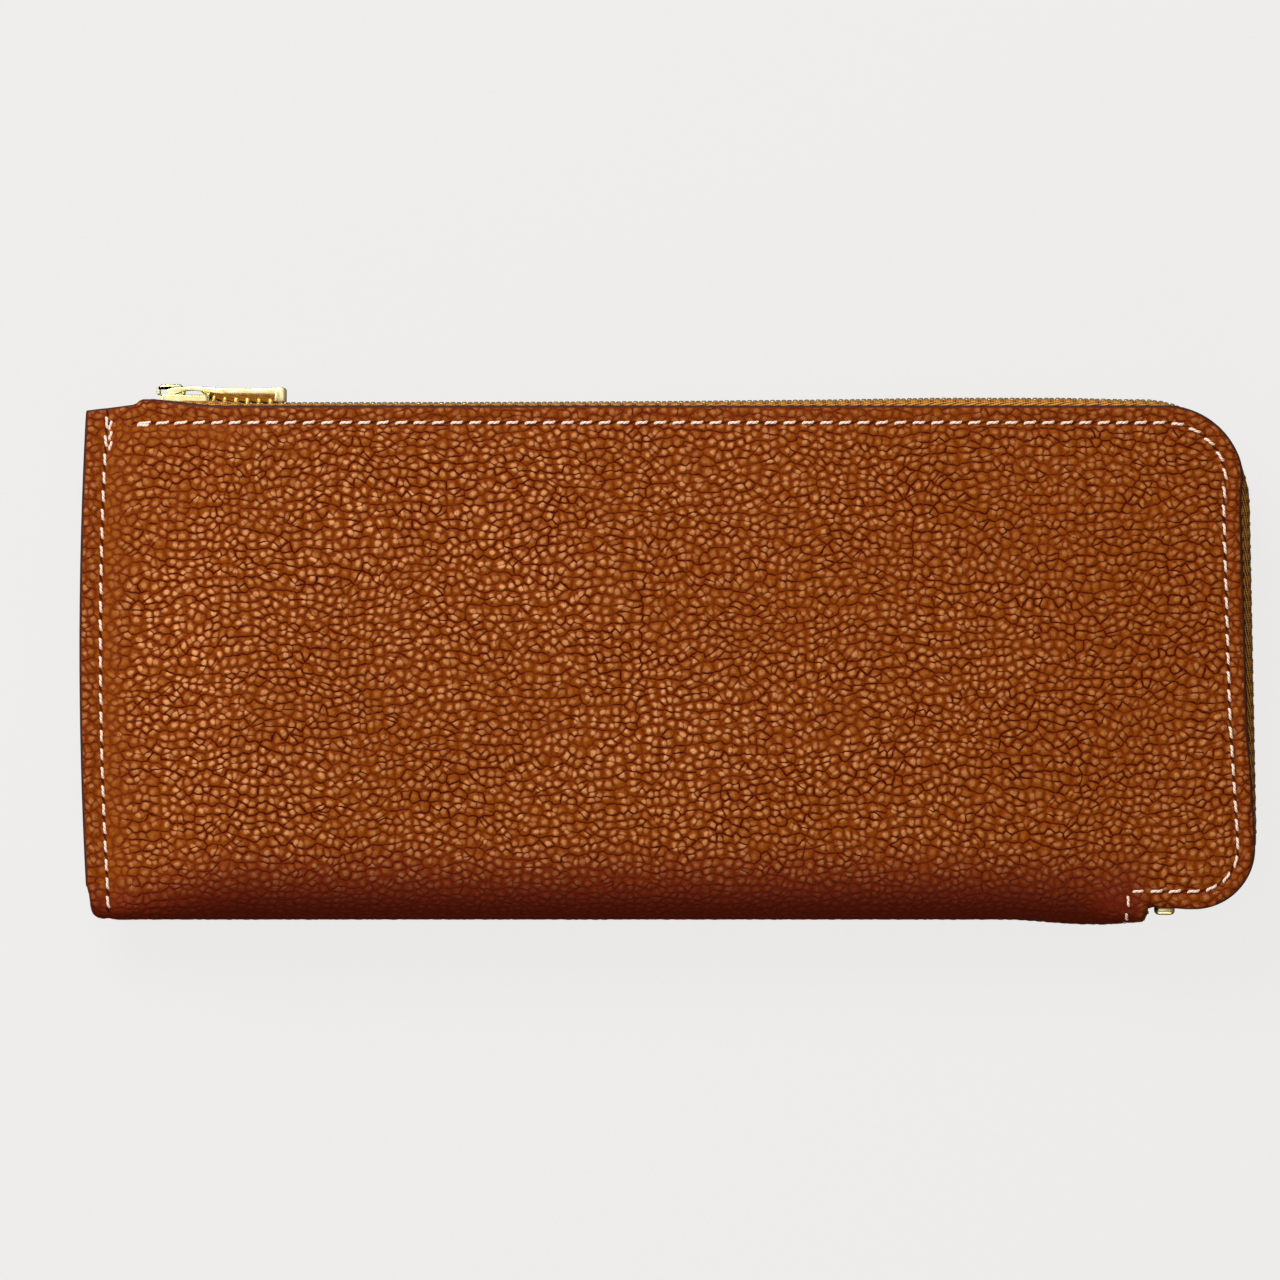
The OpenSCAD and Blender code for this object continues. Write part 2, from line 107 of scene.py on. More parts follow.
# The zip's chain line
ZIP_TOP_R = 17.3
ZIP_LOW_R = 12.9
TOOTH_H = 1.8
CHAIN_Y = TEETH_HIGH[1] - TOOTH_H / 2
ZIP_TOP_C = np.array([LEFT + 2 * 99 - 2 - ZIP_TOP_R, CHAIN_Y - ZIP_TOP_R])
ZIP_LOW_C = np.array([TEETH_HIGH[0] - TOOTH_H / 2 - ZIP_LOW_R, TEETH_LOW[1] + TOOTH_H / 2 + ZIP_LOW_R])
ZIP_START = LEFT + 10
ZIP_END = FOLD_END + 0.3
TOOTH_PITCH = 1.92
CHAIN_HALF = 2.0

# The grain: pebble width, and the spacing of its long creases across and up the hide
PEBBLE = 1.45
ROW_H = 2.5
COLUMN_W = 14.0


def ease(t):
    t = np.clip(t, 0, 1)
    return t * t * (3 - 2 * t)


# ---------------------------------------------------------------- node networks


class Net:
    """Shorthand for building a shader or geometry node tree."""

    def __init__(self, tree):
        self.tree = tree

    def node(self, kind, **settings):
        made = self.tree.nodes.new(kind)
        for name, value in settings.items():
            setattr(made, name, value)
        return made

    def put(self, socket, value):
        if isinstance(value, bpy.types.NodeSocket):
            self.tree.links.new(value, socket)
        else:
            socket.default_value = value

    def math(self, operation, a, b=0.0, c=0.0, clamp=False):
        made = self.node("ShaderNodeMath", operation=operation, use_clamp=clamp)
        for socket, value in zip(made.inputs, (a, b, c)):
            self.put(socket, value)
        return made.outputs[0]

    def vector(self, operation, a, b=(0, 0, 0), scale=None):
        made = self.node("ShaderNodeVectorMath", operation=operation)
        self.put(made.inputs[0], a)
        self.put(made.inputs[1], b)
        if scale is not None:
            self.put(made.inputs["Scale"], scale)
        return made.outputs["Value"] if operation in ("LENGTH", "DOT_PRODUCT") else made.outputs[0]

    def xyz(self, vector):
        made = self.node("ShaderNodeSeparateXYZ")
        self.put(made.inputs[0], vector)
        return made.outputs

    def noise(self, vector, scale, detail=2.0, roughness=0.5):
        made = self.node("ShaderNodeTexNoise")
        self.put(made.inputs["Vector"], vector)
        made.inputs["Scale"].default_value = scale
        made.inputs["Detail"].default_value = detail
        made.inputs["Roughness"].default_value = roughness
        return made.outputs

    def stretched(self, vector, x, y, z=1.0):
        return self.vector("MULTIPLY", vector, (x, y, z))

    def cells(self, vector, scale, feature, randomness=0.9):
        made = self.node("ShaderNodeTexVoronoi", voronoi_dimensions="2D", feature=feature)
        self.put(made.inputs["Vector"], vector)
        made.inputs["Scale"].default_value = scale
        made.inputs["Randomness"].default_value = randomness
        return made.outputs

    def between(self, value, low, high, to_low=0.0, to_high=1.0):
        made = self.node("ShaderNodeMapRange", interpolation_type="SMOOTHSTEP")
        for name, v in (("Value", value), ("From Min", low), ("From Max", high),
                        ("To Min", to_low), ("To Max", to_high)):
            self.put(made.inputs[name], v)
        return made.outputs[0]

    def mix(self, factor, a, b, blend="MIX"):
        made = self.node("ShaderNodeMix", data_type="RGBA", blend_type=blend)
        self.put(made.inputs[0], factor)
        self.put(made.inputs[6], a)
        self.put(made.inputs[7], b)
        return made.outputs[2]

    def attribute(self, name, output="Vector"):
        return self.node("ShaderNodeAttribute", attribute_name=name).outputs[output]


def grain_network(net, place):
    """Shrunken pebble grain on the flat hide.

    Gives the height, from 0 in a crease to 1 on a pebble, the pebbles' round tops, and the creases.
    """

    def wander(scale, reach):
        away = net.vector("SUBTRACT", net.noise(place, scale)["Color"], (0.5, 0.5, 0.5))
        return net.vector("SCALE", away, scale=reach)

    bent = net.vector("ADD", net.vector("ADD", place, wander(0.05, 4.0)), wander(0.45, 1.0))
    bent = net.stretched(bent, 0.95, 1.05)
    nearest = net.cells(bent, 1 / PEBBLE, "F1")
    second = net.cells(bent, 1 / PEBBLE, "F2")
    centre = net.math("MULTIPLY", nearest["Distance"], PEBBLE)
    edge = net.math("MULTIPLY", net.cells(bent, 1 / PEBBLE, "DISTANCE_TO_EDGE")["Distance"], PEBBLE)
    across = net.vector("NORMALIZE", net.vector("SUBTRACT", second["Position"], nearest["Position"]))
    lying = net.between(net.math("ABSOLUTE", net.xyz(across)[1]), 0.4, 0.92)

    def band(position, axis, size, x_scale, y_scale, sway):
        wave = net.noise(net.stretched(position, x_scale, y_scale), 1.0, 1.0)["Fac"]
        moved = net.math("ADD", net.xyz(position)[axis], net.math("MULTIPLY", wave, sway))
        return net.math("FLOOR", net.math("DIVIDE", moved, size))

    def differs(axis, size, x_scale, y_scale, sway):
        gap = net.math("SUBTRACT", band(nearest["Position"], axis, size, x_scale, y_scale, sway),
                       band(second["Position"], axis, size, x_scale, y_scale, sway))
        return net.math("MINIMUM", net.math("ABSOLUTE", gap), 1.0)

    row_noise = net.noise(net.stretched(bent, 0.04, 0.12), 1.0, 1.0)["Fac"]
    row_strength = net.between(row_noise, 0.36, 0.62, 0.25, 0.9)
    column_noise = net.noise(net.stretched(bent, 0.09, 0.03), 1.0, 1.0)["Fac"]
    column_strength = net.between(column_noise, 0.5, 0.64, 0.0, 0.7)
    crease = net.math("MAXIMUM", net.math("MULTIPLY", differs(1, ROW_H, 0.05, 0.10, 6.0), row_strength),
                      net.math("MULTIPLY", differs(0, COLUMN_W, 0.06, 0.015, 9.0), column_strength))
    patchy = net.between(net.noise(bent, 0.35, 1.0)["Fac"], 0.36, 0.64, 0.3, 1.0)
    shallow = net.math("MULTIPLY", net.math("MULTIPLY_ADD", lying, 0.62, 0.26), patchy)
    depth = net.math("MAXIMUM", shallow, crease)
    width = net.math("MULTIPLY_ADD", depth, 0.13, 0.06)
    wall = net.between(net.math("DIVIDE", edge, width), 0.0, 1.0)
    cut = net.math("MULTIPLY", net.math("SUBTRACT", 1.0, wall), depth)
    own = net.xyz(nearest["Color"])[0]
    top = net.math("MULTIPLY", net.between(centre, 0.60, 0.24), net.math("MULTIPLY_ADD", own, 0.85, 0.15))
    pillow = net.between(edge, 0.0, 0.5)
    height = net.math("ADD", net.math("MULTIPLY", top, 0.42), net.math("MULTIPLY", pillow, 0.22))
    height = net.math("SUBTRACT", net.math("ADD", height, 0.36), net.math("MULTIPLY", cut, 0.36), clamp=True)
    return height, top, cut


def grain_heights(places):
    """The grain's height at many places on the flat hide, by the same nodes as in the leather's shader."""
    count = len(places)
    mesh = bpy.data.meshes.new("probe")
    mesh.vertices.add(count)
    flat = np.zeros((count, 3), np.float32)
    flat[:, :2] = places[:, :2]
    mesh.vertices.foreach_set("co", flat.ravel())
    probe = bpy.data.objects.new("probe", mesh)
    bpy.context.collection.objects.link(probe)
    tree = bpy.data.node_groups.new("probe", "GeometryNodeTree")
    tree.interface.new_socket("Geometry", in_out="INPUT", socket_type="NodeSocketGeometry")
    tree.interface.new_socket("Geometry", in_out="OUTPUT", socket_type="NodeSocketGeometry")
    net = Net(tree)
    height = grain_network(net, net.node("GeometryNodeInputPosition").outputs[0])[0]
    store = net.node("GeometryNodeStoreNamedAttribute", data_type="FLOAT", domain="POINT")
    store.inputs["Name"].default_value = "height"
    net.put(store.inputs["Value"], height)
    net.put(store.inputs["Geometry"], net.node("NodeGroupInput").outputs[0])
    net.put(net.node("NodeGroupOutput").inputs[0], store.outputs[0])
    probe.modifiers.new("probe", "NODES").node_group = tree
    depsgraph = bpy.context.evaluated_depsgraph_get()
    result = np.zeros(count, np.float32)
    probe.evaluated_get(depsgraph).data.attributes["height"].data.foreach_get("value", result)
    bpy.data.objects.remove(probe)
    bpy.data.meshes.remove(mesh)
    bpy.data.node_groups.remove(tree)
    return result.astype(float)


# ---------------------------------------------------------------- materials


def new_material(name):
    material = bpy.data.materials.new(name)
    material.use_nodes = True
    net = Net(material.node_tree)
    shader = material.node_tree.nodes["Principled BSDF"]
    return material, net, shader


def bump(net, shader, height, distance, strength=1.0, under=None):
    made = net.node("ShaderNodeBump")
    made.inputs["Strength"].default_value = strength
    made.inputs["Distance"].default_value = distance * MM
    net.put(made.inputs["Height"], height)
    if under is not None:
        net.put(made.inputs["Normal"], under)
    net.put(shader.inputs["Normal"], made.outputs[0])
    return made.outputs[0]


def leather_material():
    """Tan pebble leather, with painted shade making it darker and redder in its creases, fine lines and low
    ground, where it is folded and in its stitch holes, and a painted highlight on its pebble tops.
    """
    material, net, shader = new_material("tan_pebble_leather")
    place = net.attribute("grain")
    shade = net.attribute("shade", "Fac")
    relief = net.attribute("relief", "Fac")
    along, aside, _ = net.xyz(net.attribute("seam"))
    height, top, cut = grain_network(net, place)
    # Colours: mid is the leather's own tan. deep and low are painted shade for the creases, the grain's low
    # ground and its fine lines. light is the painted highlight on the pebble tops.
    deep, low = (0.050, 0.0020, 0.0001, 1), (0.130, 0.019, 0.0001, 1)
    mid, light = (0.184, 0.042, 0.0001, 1), (0.58, 0.250, 0.095, 1)
    # Painted shade: the grain's low ground is coloured darker than its pebbles.
    colour = net.mix(net.between(height, 0.34, 0.66), low, mid)
    # Painted highlight: pebble tops are lightened towards the pale pink light colour, in patches and less
    # towards the right, in place of the light's reflection.
    highlight_patches = net.between(net.noise(place, 0.03, 2.0)["Fac"], 0.3, 0.7, 0.4, 0.85)
    across = net.between(net.xyz(place)[0], -20.0, 75.0, 1.0, 0.55)
    crown = net.math("MULTIPLY", net.math("MULTIPLY", top, highlight_patches), across)
    # Fine hair lines: painted shade darkens them halfway towards low.
    kinked = net.vector("ADD", place, net.vector("SCALE", net.noise(place, 1.1)["Color"], scale=0.7))
    hair = net.between(net.cells(kinked, 1.25, "DISTANCE_TO_EDGE", 1.0)["Distance"], 0.09, 0.0)
    hair = net.math("MULTIPLY", hair, net.between(net.noise(place, 0.9, 1.0)["Fac"], 0.42, 0.62))
    colour = net.mix(net.math("MULTIPLY", crown, relief), colour, light)
    colour = net.mix(net.math("MULTIPLY", hair, 0.5), colour, low)
    # Painted shade in the creases, towards the dark red-brown deep.
    colour = net.mix(net.math("MULTIPLY", net.between(cut, 0.04, 0.42), relief), colour, deep)
    speck = net.between(net.noise(place, 2.6, 3.0, 0.7)["Fac"], 0.3, 0.7, 0.8, 1.2)
    colour = net.mix(1.0, colour, net.vector("SCALE", (1, 1, 1), scale=speck), "MULTIPLY")
    # Painted shade: darker and redder where the shade attribute is high, over the fold's turn, along the cut
    # edges and faintly in the stitched border.
    colour = net.mix(shade, colour, (0.085, 0.0060, 0.0015, 1))
    # Painted shadow in the stitch holes: a near-black round mark at each hole, which the bump also sinks.
    turn = net.math("FRACT", net.math("ADD", net.math("DIVIDE", along, PITCH), 0.5))
    turn = net.math("SUBTRACT", turn, 0.5)
    gap = net.math("DIVIDE", net.math("MULTIPLY", turn, PITCH), 0.72)
    off = net.math("DIVIDE", net.math("SUBTRACT", aside, net.math("MULTIPLY", turn, 0.9)), 0.2)
    far = net.math("SQRT", net.math("ADD", net.math("MULTIPLY", gap, gap), net.math("MULTIPLY", off, off)))
    hole = net.between(far, 1.15, 0.55)
    colour = net.mix(net.math("MULTIPLY", hole, 0.8), colour, (0.010, 0.001, 0.0005, 1))
    net.put(shader.inputs["Base Color"], colour)
    net.put(shader.inputs["Roughness"], net.between(height, 0.2, 0.9, 0.55, 0.38))
    shader.inputs["Specular IOR Level"].default_value = 0.04
    scaled = net.math("MULTIPLY", height, net.math("MULTIPLY_ADD", relief, 0.85, 0.15))
    sunk = net.math("MULTIPLY_ADD", hole, 0.5, net.math("MULTIPLY", hair, 0.10))
    scaled = net.math("SUBTRACT", scaled, sunk)
    pores = net.noise(place, 3.2, 3.0, 0.65)["Fac"]
    under = bump(net, shader, pores, 0.06, 0.8)
    bump(net, shader, scaled, 0.42, 0.8, under)
    return material


def edge_material():
    """Dyed and burnished raw edge of the leather."""
    material, net, shader = new_material("burnished_edge")
    streak = net.noise(net.attribute("grain"), 1.6, 3.0)["Fac"]
    net.put(shader.inputs["Base Color"], net.mix(streak, (0.018, 0.004, 0.002, 1), (0.050, 0.010, 0.004, 1)))
    shader.inputs["Roughness"].default_value = 0.6
    shader.inputs["Specular IOR Level"].default_value = 0.15
    bump(net, shader, streak, 0.08, 0.6)
    return material


def object_place(net):
    """Place on the object, in millimetres."""
    place = net.node("ShaderNodeTexCoord").outputs["Object"]
    return net.vector("SCALE", place, scale=1 / MM)


def suede_material(name, dark, light, roughness=0.85):
    """Napped back of the leather, the lining and the leaves."""
    material, net, shader = new_material(name)
    place = object_place(net)
    cloud = net.noise(place, 0.12, 3.0)["Fac"]
    nap = net.noise(net.stretched(place, 1.0, 2.2, 1.0), 3.2, 4.0, 0.7)["Fac"]
    tone = net.math("ADD", net.math("MULTIPLY", cloud, 0.45), net.math("MULTIPLY", nap, 0.55))
    net.put(shader.inputs["Base Color"], net.mix(net.between(tone, 0.32, 0.68), dark, light))
    shader.inputs["Roughness"].default_value = roughness
    shader.inputs["Sheen Weight"].default_value = 0.25
    shader.inputs["Sheen Roughness"].default_value = 0.5
    bump(net, shader, nap, 0.12, 0.6)
    return material


def tape_material():
    """Herringbone zip tape. Its own coordinates run along the chain and across the tape."""
    material, net, shader = new_material("zip_tape_weave")
    along, across, _ = net.xyz(net.attribute("weave"))
    panel = net.math("PINGPONG", across, 1.3)
    phase = net.math("ADD", net.math("MULTIPLY", panel, 1.7), net.math("MULTIPLY", along, 0.5))
    rib = net.math("SINE", net.math("MULTIPLY", phase, 2 * math.pi))
    thread = net.math("SINE", net.math("MULTIPLY", along, 2 * math.pi / 0.42))
    raised = net.math("MULTIPLY_ADD", thread, 0.15, 0.5)
    height = net.math("ADD", net.math("MULTIPLY", rib, 0.35), raised, clamp=True)
    fuzz = net.noise(net.attribute("weave"), 2.5, 3.0)["Fac"]
    tone = net.math("ADD", net.math("MULTIPLY", height, 0.75), net.math("MULTIPLY", fuzz, 0.25))
    net.put(shader.inputs["Base Color"],
            net.mix(net.between(tone, 0.28, 0.62), (0.060, 0.011, 0.001, 1), (0.48, 0.205, 0.034, 1)))
    shader.inputs["Roughness"].default_value = 0.8
    shader.inputs["Specular IOR Level"].default_value = 0.1
    bump(net, shader, height, 0.12, 0.9)
    return material


def metal_material(name, colour, roughness):
    """Plated zip metal with faint tumbling marks."""
    material, net, shader = new_material(name)
    place = object_place(net)
    marks = net.noise(net.stretched(place, 0.6, 3.0, 3.0), 1.7, 4.0, 0.7)["Fac"]
    cloud = net.noise(place, 0.5, 2.0)["Fac"]
    warm = tuple(c * k for c, k in zip(colour, (0.86, 0.78, 0.62))) + (1,)
    net.put(shader.inputs["Base Color"], net.mix(net.between(cloud, 0.3, 0.7), warm, colour + (1,)))
    shader.inputs["Metallic"].default_value = 1.0
    net.put(shader.inputs["Roughness"], net.between(marks, 0.3, 0.7, roughness, roughness + 0.14))
    bump(net, shader, marks, 0.012, 0.5)
    return material


def thread_material():
    """Waxed twisted thread. Its own coordinates run along the stitch and around it."""
    material, net, shader = new_material("waxed_thread")
    along, around, _ = net.xyz(net.attribute("twist"))
    phase = net.math("ADD", net.math("MULTIPLY", along, 1.55), net.math("MULTIPLY", around, 3.0))
    ply = net.math("MULTIPLY_ADD", net.math("SINE", net.math("MULTIPLY", phase, 2 * math.pi)), 0.5, 0.5)
    net.put(shader.inputs["Base Color"], net.mix(ply, (0.42, 0.24, 0.17, 1), (0.90, 0.68, 0.56, 1)))
    shader.inputs["Roughness"].default_value = 0.5
    shader.inputs["Sheen Weight"].default_value = 0.2
    bump(net, shader, ply, 0.06, 0.8)
    return material


def board_material():
    """Grey-brown pressed fibre board."""
    return suede_material("fibre_board", (0.33, 0.28, 0.21, 1), (0.52, 0.46, 0.37, 1), 0.9)


# ---------------------------------------------------------------- mesh helpers


def make(name, points, faces, materials, slots=None, **attributes):
    """A mesh piece from points in millimetres. slots gives each face's material number."""
    mesh = bpy.data.meshes.new(name)
    mesh.from_pydata((np.asarray(points, float) * MM).tolist(), [], faces)
    for material in materials:
        mesh.materials.append(material)
    if slots is not None:
        mesh.polygons.foreach_set("material_index", np.asarray(slots, np.int32))
    mesh.polygons.foreach_set("use_smooth", np.ones(len(mesh.polygons), bool))
    for key, values in attributes.items():
        values = np.asarray(values, np.float32)
        kind, field = ("FLOAT_VECTOR", "vector") if values.ndim == 2 else ("FLOAT", "value")
        mesh.attributes.new(key, kind, "POINT").data.foreach_set(field, values.ravel())
    mesh.update()
    piece = bpy.data.objects.new(name, mesh)
    bpy.context.collection.objects.link(piece)
    return piece


def grid_faces(index, flip=False):
    """Quads over a grid of point numbers."""
    a, b, c, d = index[:-1, :-1], index[1:, :-1], index[1:, 1:], index[:-1, 1:]
    order = (a, d, c, b) if flip else (a, b, c, d)
    return np.stack([o.ravel() for o in order], 1).tolist()


def point_normals(points, faces):
    """Area-weighted normals of a quad mesh."""
    quads = np.array(faces)
    corner = points[quads]
    normal = np.cross(corner[:, 2] - corner[:, 0], corner[:, 3] - corner[:, 1])
    total = np.zeros_like(points)
    for k in range(4):
        np.add.at(total, quads[:, k], normal)
    return total / np.maximum(np.linalg.norm(total, axis=1, keepdims=True), 1e-12)


def steps_to(length, cell, start_steps=(0,), end_steps=(0,)):
    """Places from 0 to length, about a cell apart, with closer steps given at either end."""
    a, b = list(start_steps), [length - s for s in reversed(end_steps)]
    count = max(2, round((b[0] - a[-1]) / cell))
    return np.array(a[:-1] + list(np.linspace(a[-1], b[0], count + 1)) + b[1:])


# ---------------------------------------------------------------- lines and outlines


class EdgeLine:
    """A line along the top, round the top right corner, down the side and round the bottom right corner."""

    def __init__(self, start_x, top_c, top_r, low_c, low_r, end_x):
        self.start_x, self.end_x = start_x, end_x
        self.top_c, self.top_r, self.low_c, self.low_r = top_c, top_r, low_c, low_r
        d = low_c - top_c
        self.side = math.atan2(d[1], d[0]) + math.acos((top_r - low_r) / np.hypot(*d))
        self.marks = np.cumsum([
            top_c[0] - start_x,
            top_r * (RIGHT_ANGLE - self.side),
            math.sqrt(d @ d - (top_r - low_r) ** 2),
            low_r * (RIGHT_ANGLE + self.side),
            low_c[0] - end_x,
        ])
        self.length = self.marks[-1]

    def along(self, s):
        """Place and outward angle at a distance along the line."""
        a, b, c, d, _ = self.marks
        if s < a:
            return self.start_x + s, self.top_c[1] + self.top_r, RIGHT_ANGLE
        if s < b:
            return self.spoke(self.top_c, self.top_r, RIGHT_ANGLE - (s - a) / self.top_r)
        if s < c:
            x, y, angle = self.spoke(self.top_c, self.top_r, self.side)
            return x + (s - b) * math.sin(angle), y - (s - b) * math.cos(angle), angle
        if s < d:
            return self.spoke(self.low_c, self.low_r, self.side - (s - c) / self.low_r)
        return self.low_c[0] - (s - d), self.low_c[1] - self.low_r, -RIGHT_ANGLE

    @staticmethod
    def spoke(centre, radius, angle):
        return centre[0] + radius * math.cos(angle), centre[1] + radius * math.sin(angle), angle


OUTLINE = EdgeLine(LEFT, TOP_C, TOP_R, LOW_C, LOW_R, FOLD_END)
CHAIN = EdgeLine(ZIP_START, ZIP_TOP_C, ZIP_TOP_R, ZIP_LOW_C, ZIP_LOW_R, ZIP_END)


def side_pull(y):
    """How far the leather's right edge is drawn in, showing the tape beside it."""
    return 0.68 * ease((33 - y) / 9) * ease((y + 34) / 26)


def outline_point(s):
    x, y, angle = OUTLINE.along(s)
    return x - side_pull(y) * max(0.0, math.cos(angle)), y


def edge_distance(x, y):
    """Distance in from the zipped edges: top, top right corner, side, bottom right corner and low edge."""
    x = x + side_pull(y) * ease((x - TOP_C[0]) / TOP_R)
    side = np.array([math.cos(OUTLINE.side), math.sin(OUTLINE.side)])
    best = np.minimum(TOP - y, TOP_C @ side + TOP_R - (x * side[0] + y * side[1]))
    best = np.minimum(best, np.where(x > FOLD_END, y - LOW_EDGE, 1e3))
    for centre, radius, low, high in ((TOP_C, TOP_R, OUTLINE.side, RIGHT_ANGLE),
                                      (LOW_C, LOW_R, -RIGHT_ANGLE, OUTLINE.side)):
        angle = np.arctan2(y - centre[1], x - centre[0])
        inside = (angle > low) & (angle < high)
        best = np.where(inside, radius - np.hypot(x - centre[0], y - centre[1]), best)
    return best


# ---------------------------------------------------------------- the leather's shape


def left_edge(y):
    return LEFT + LEFT_BULGE * np.clip(np.abs(y - 1) / 41, 0, 1) ** 2


def half_depth(x):
    t = np.clip((x - SEAM_X) / SWELL, 0, 1)
    return SEAM_HALF + (MID - SEAM_HALF) * (0.5 * t + 0.5 * ease(t))


def bottom_y(x):
    deep = ease((x - FOLD_END + 24) / 14)
    centre = LEFT + LEFT_BULGE + CORNER_R
    cut = np.clip(centre - x, 0, CORNER_R)
    end = np.clip(x - (FOLD_END - END_R), 0, END_R)
    return (BOTTOM + FOLD_RISE * (1 - deep) + CORNER_R - np.sqrt(CORNER_R ** 2 - cut ** 2)
            + END_R - np.sqrt(END_R ** 2 - end ** 2) + 0.5 * ease((x - FOLD_END + 8) / 8))


def top_y(x):
    """Top edge of the leather: a slope over the left seam, a small lip, then straight."""
    slope = TOP - 0.9 + 1.2 * np.clip((x - LEFT) / (LIP_FROM - LEFT), 0, 1)
    lip = TOP + 1.1 - 1.1 * ease((x - LIP_FROM - 1.5) / 13)
    rise = ease((x - LIP_FROM + 0.4) / 1.3)
    return slope * (1 - rise) + lip * rise


def squareness(x):
    """Exponent of the fold's section, which turns square where the fold ends."""
    return 2 + 4.5 * ease((x - FOLD_END + 11) / 11)


def fold_section(x, q):
    """Y drop and Z share on the fold's quarter turn, q from 0 at the panel to 1 at the middle."""
    n = squareness(x)
    angle = q * RIGHT_ANGLE
    reach = (np.sin(angle) ** n + np.abs(np.cos(angle)) ** n) ** (-1 / n)
    return reach * np.sin(angle), reach * np.cos(angle)


def dome(x, y):
    """Soft crown and slow waves of the front panel."""
    across = np.clip(1 - ((x - 3) / 92) ** 4, 0, 1)
    up = np.clip(1 - ((y - 3.5) / 38.5) ** 2, 0, 1)
    waves = 0.16 * np.sin(x / 13 + 1.2 * np.sin(y / 17)) + 0.12 * np.sin(x / 7.3 + y / 11 + 2)
    return (DOME + waves) * across * up


def end_drop(x, y):
    """How far the front sinks beside the fold's end, fading to the right."""
    a = MID
    share = np.clip((bottom_y(FOLD_END) + a - y) / a, 0, 1)
    n = squareness(FOLD_END)
    return MID * (1 - (1 - share ** n) ** (1 / n)) * (1 - ease((x - FOLD_END) / 7))


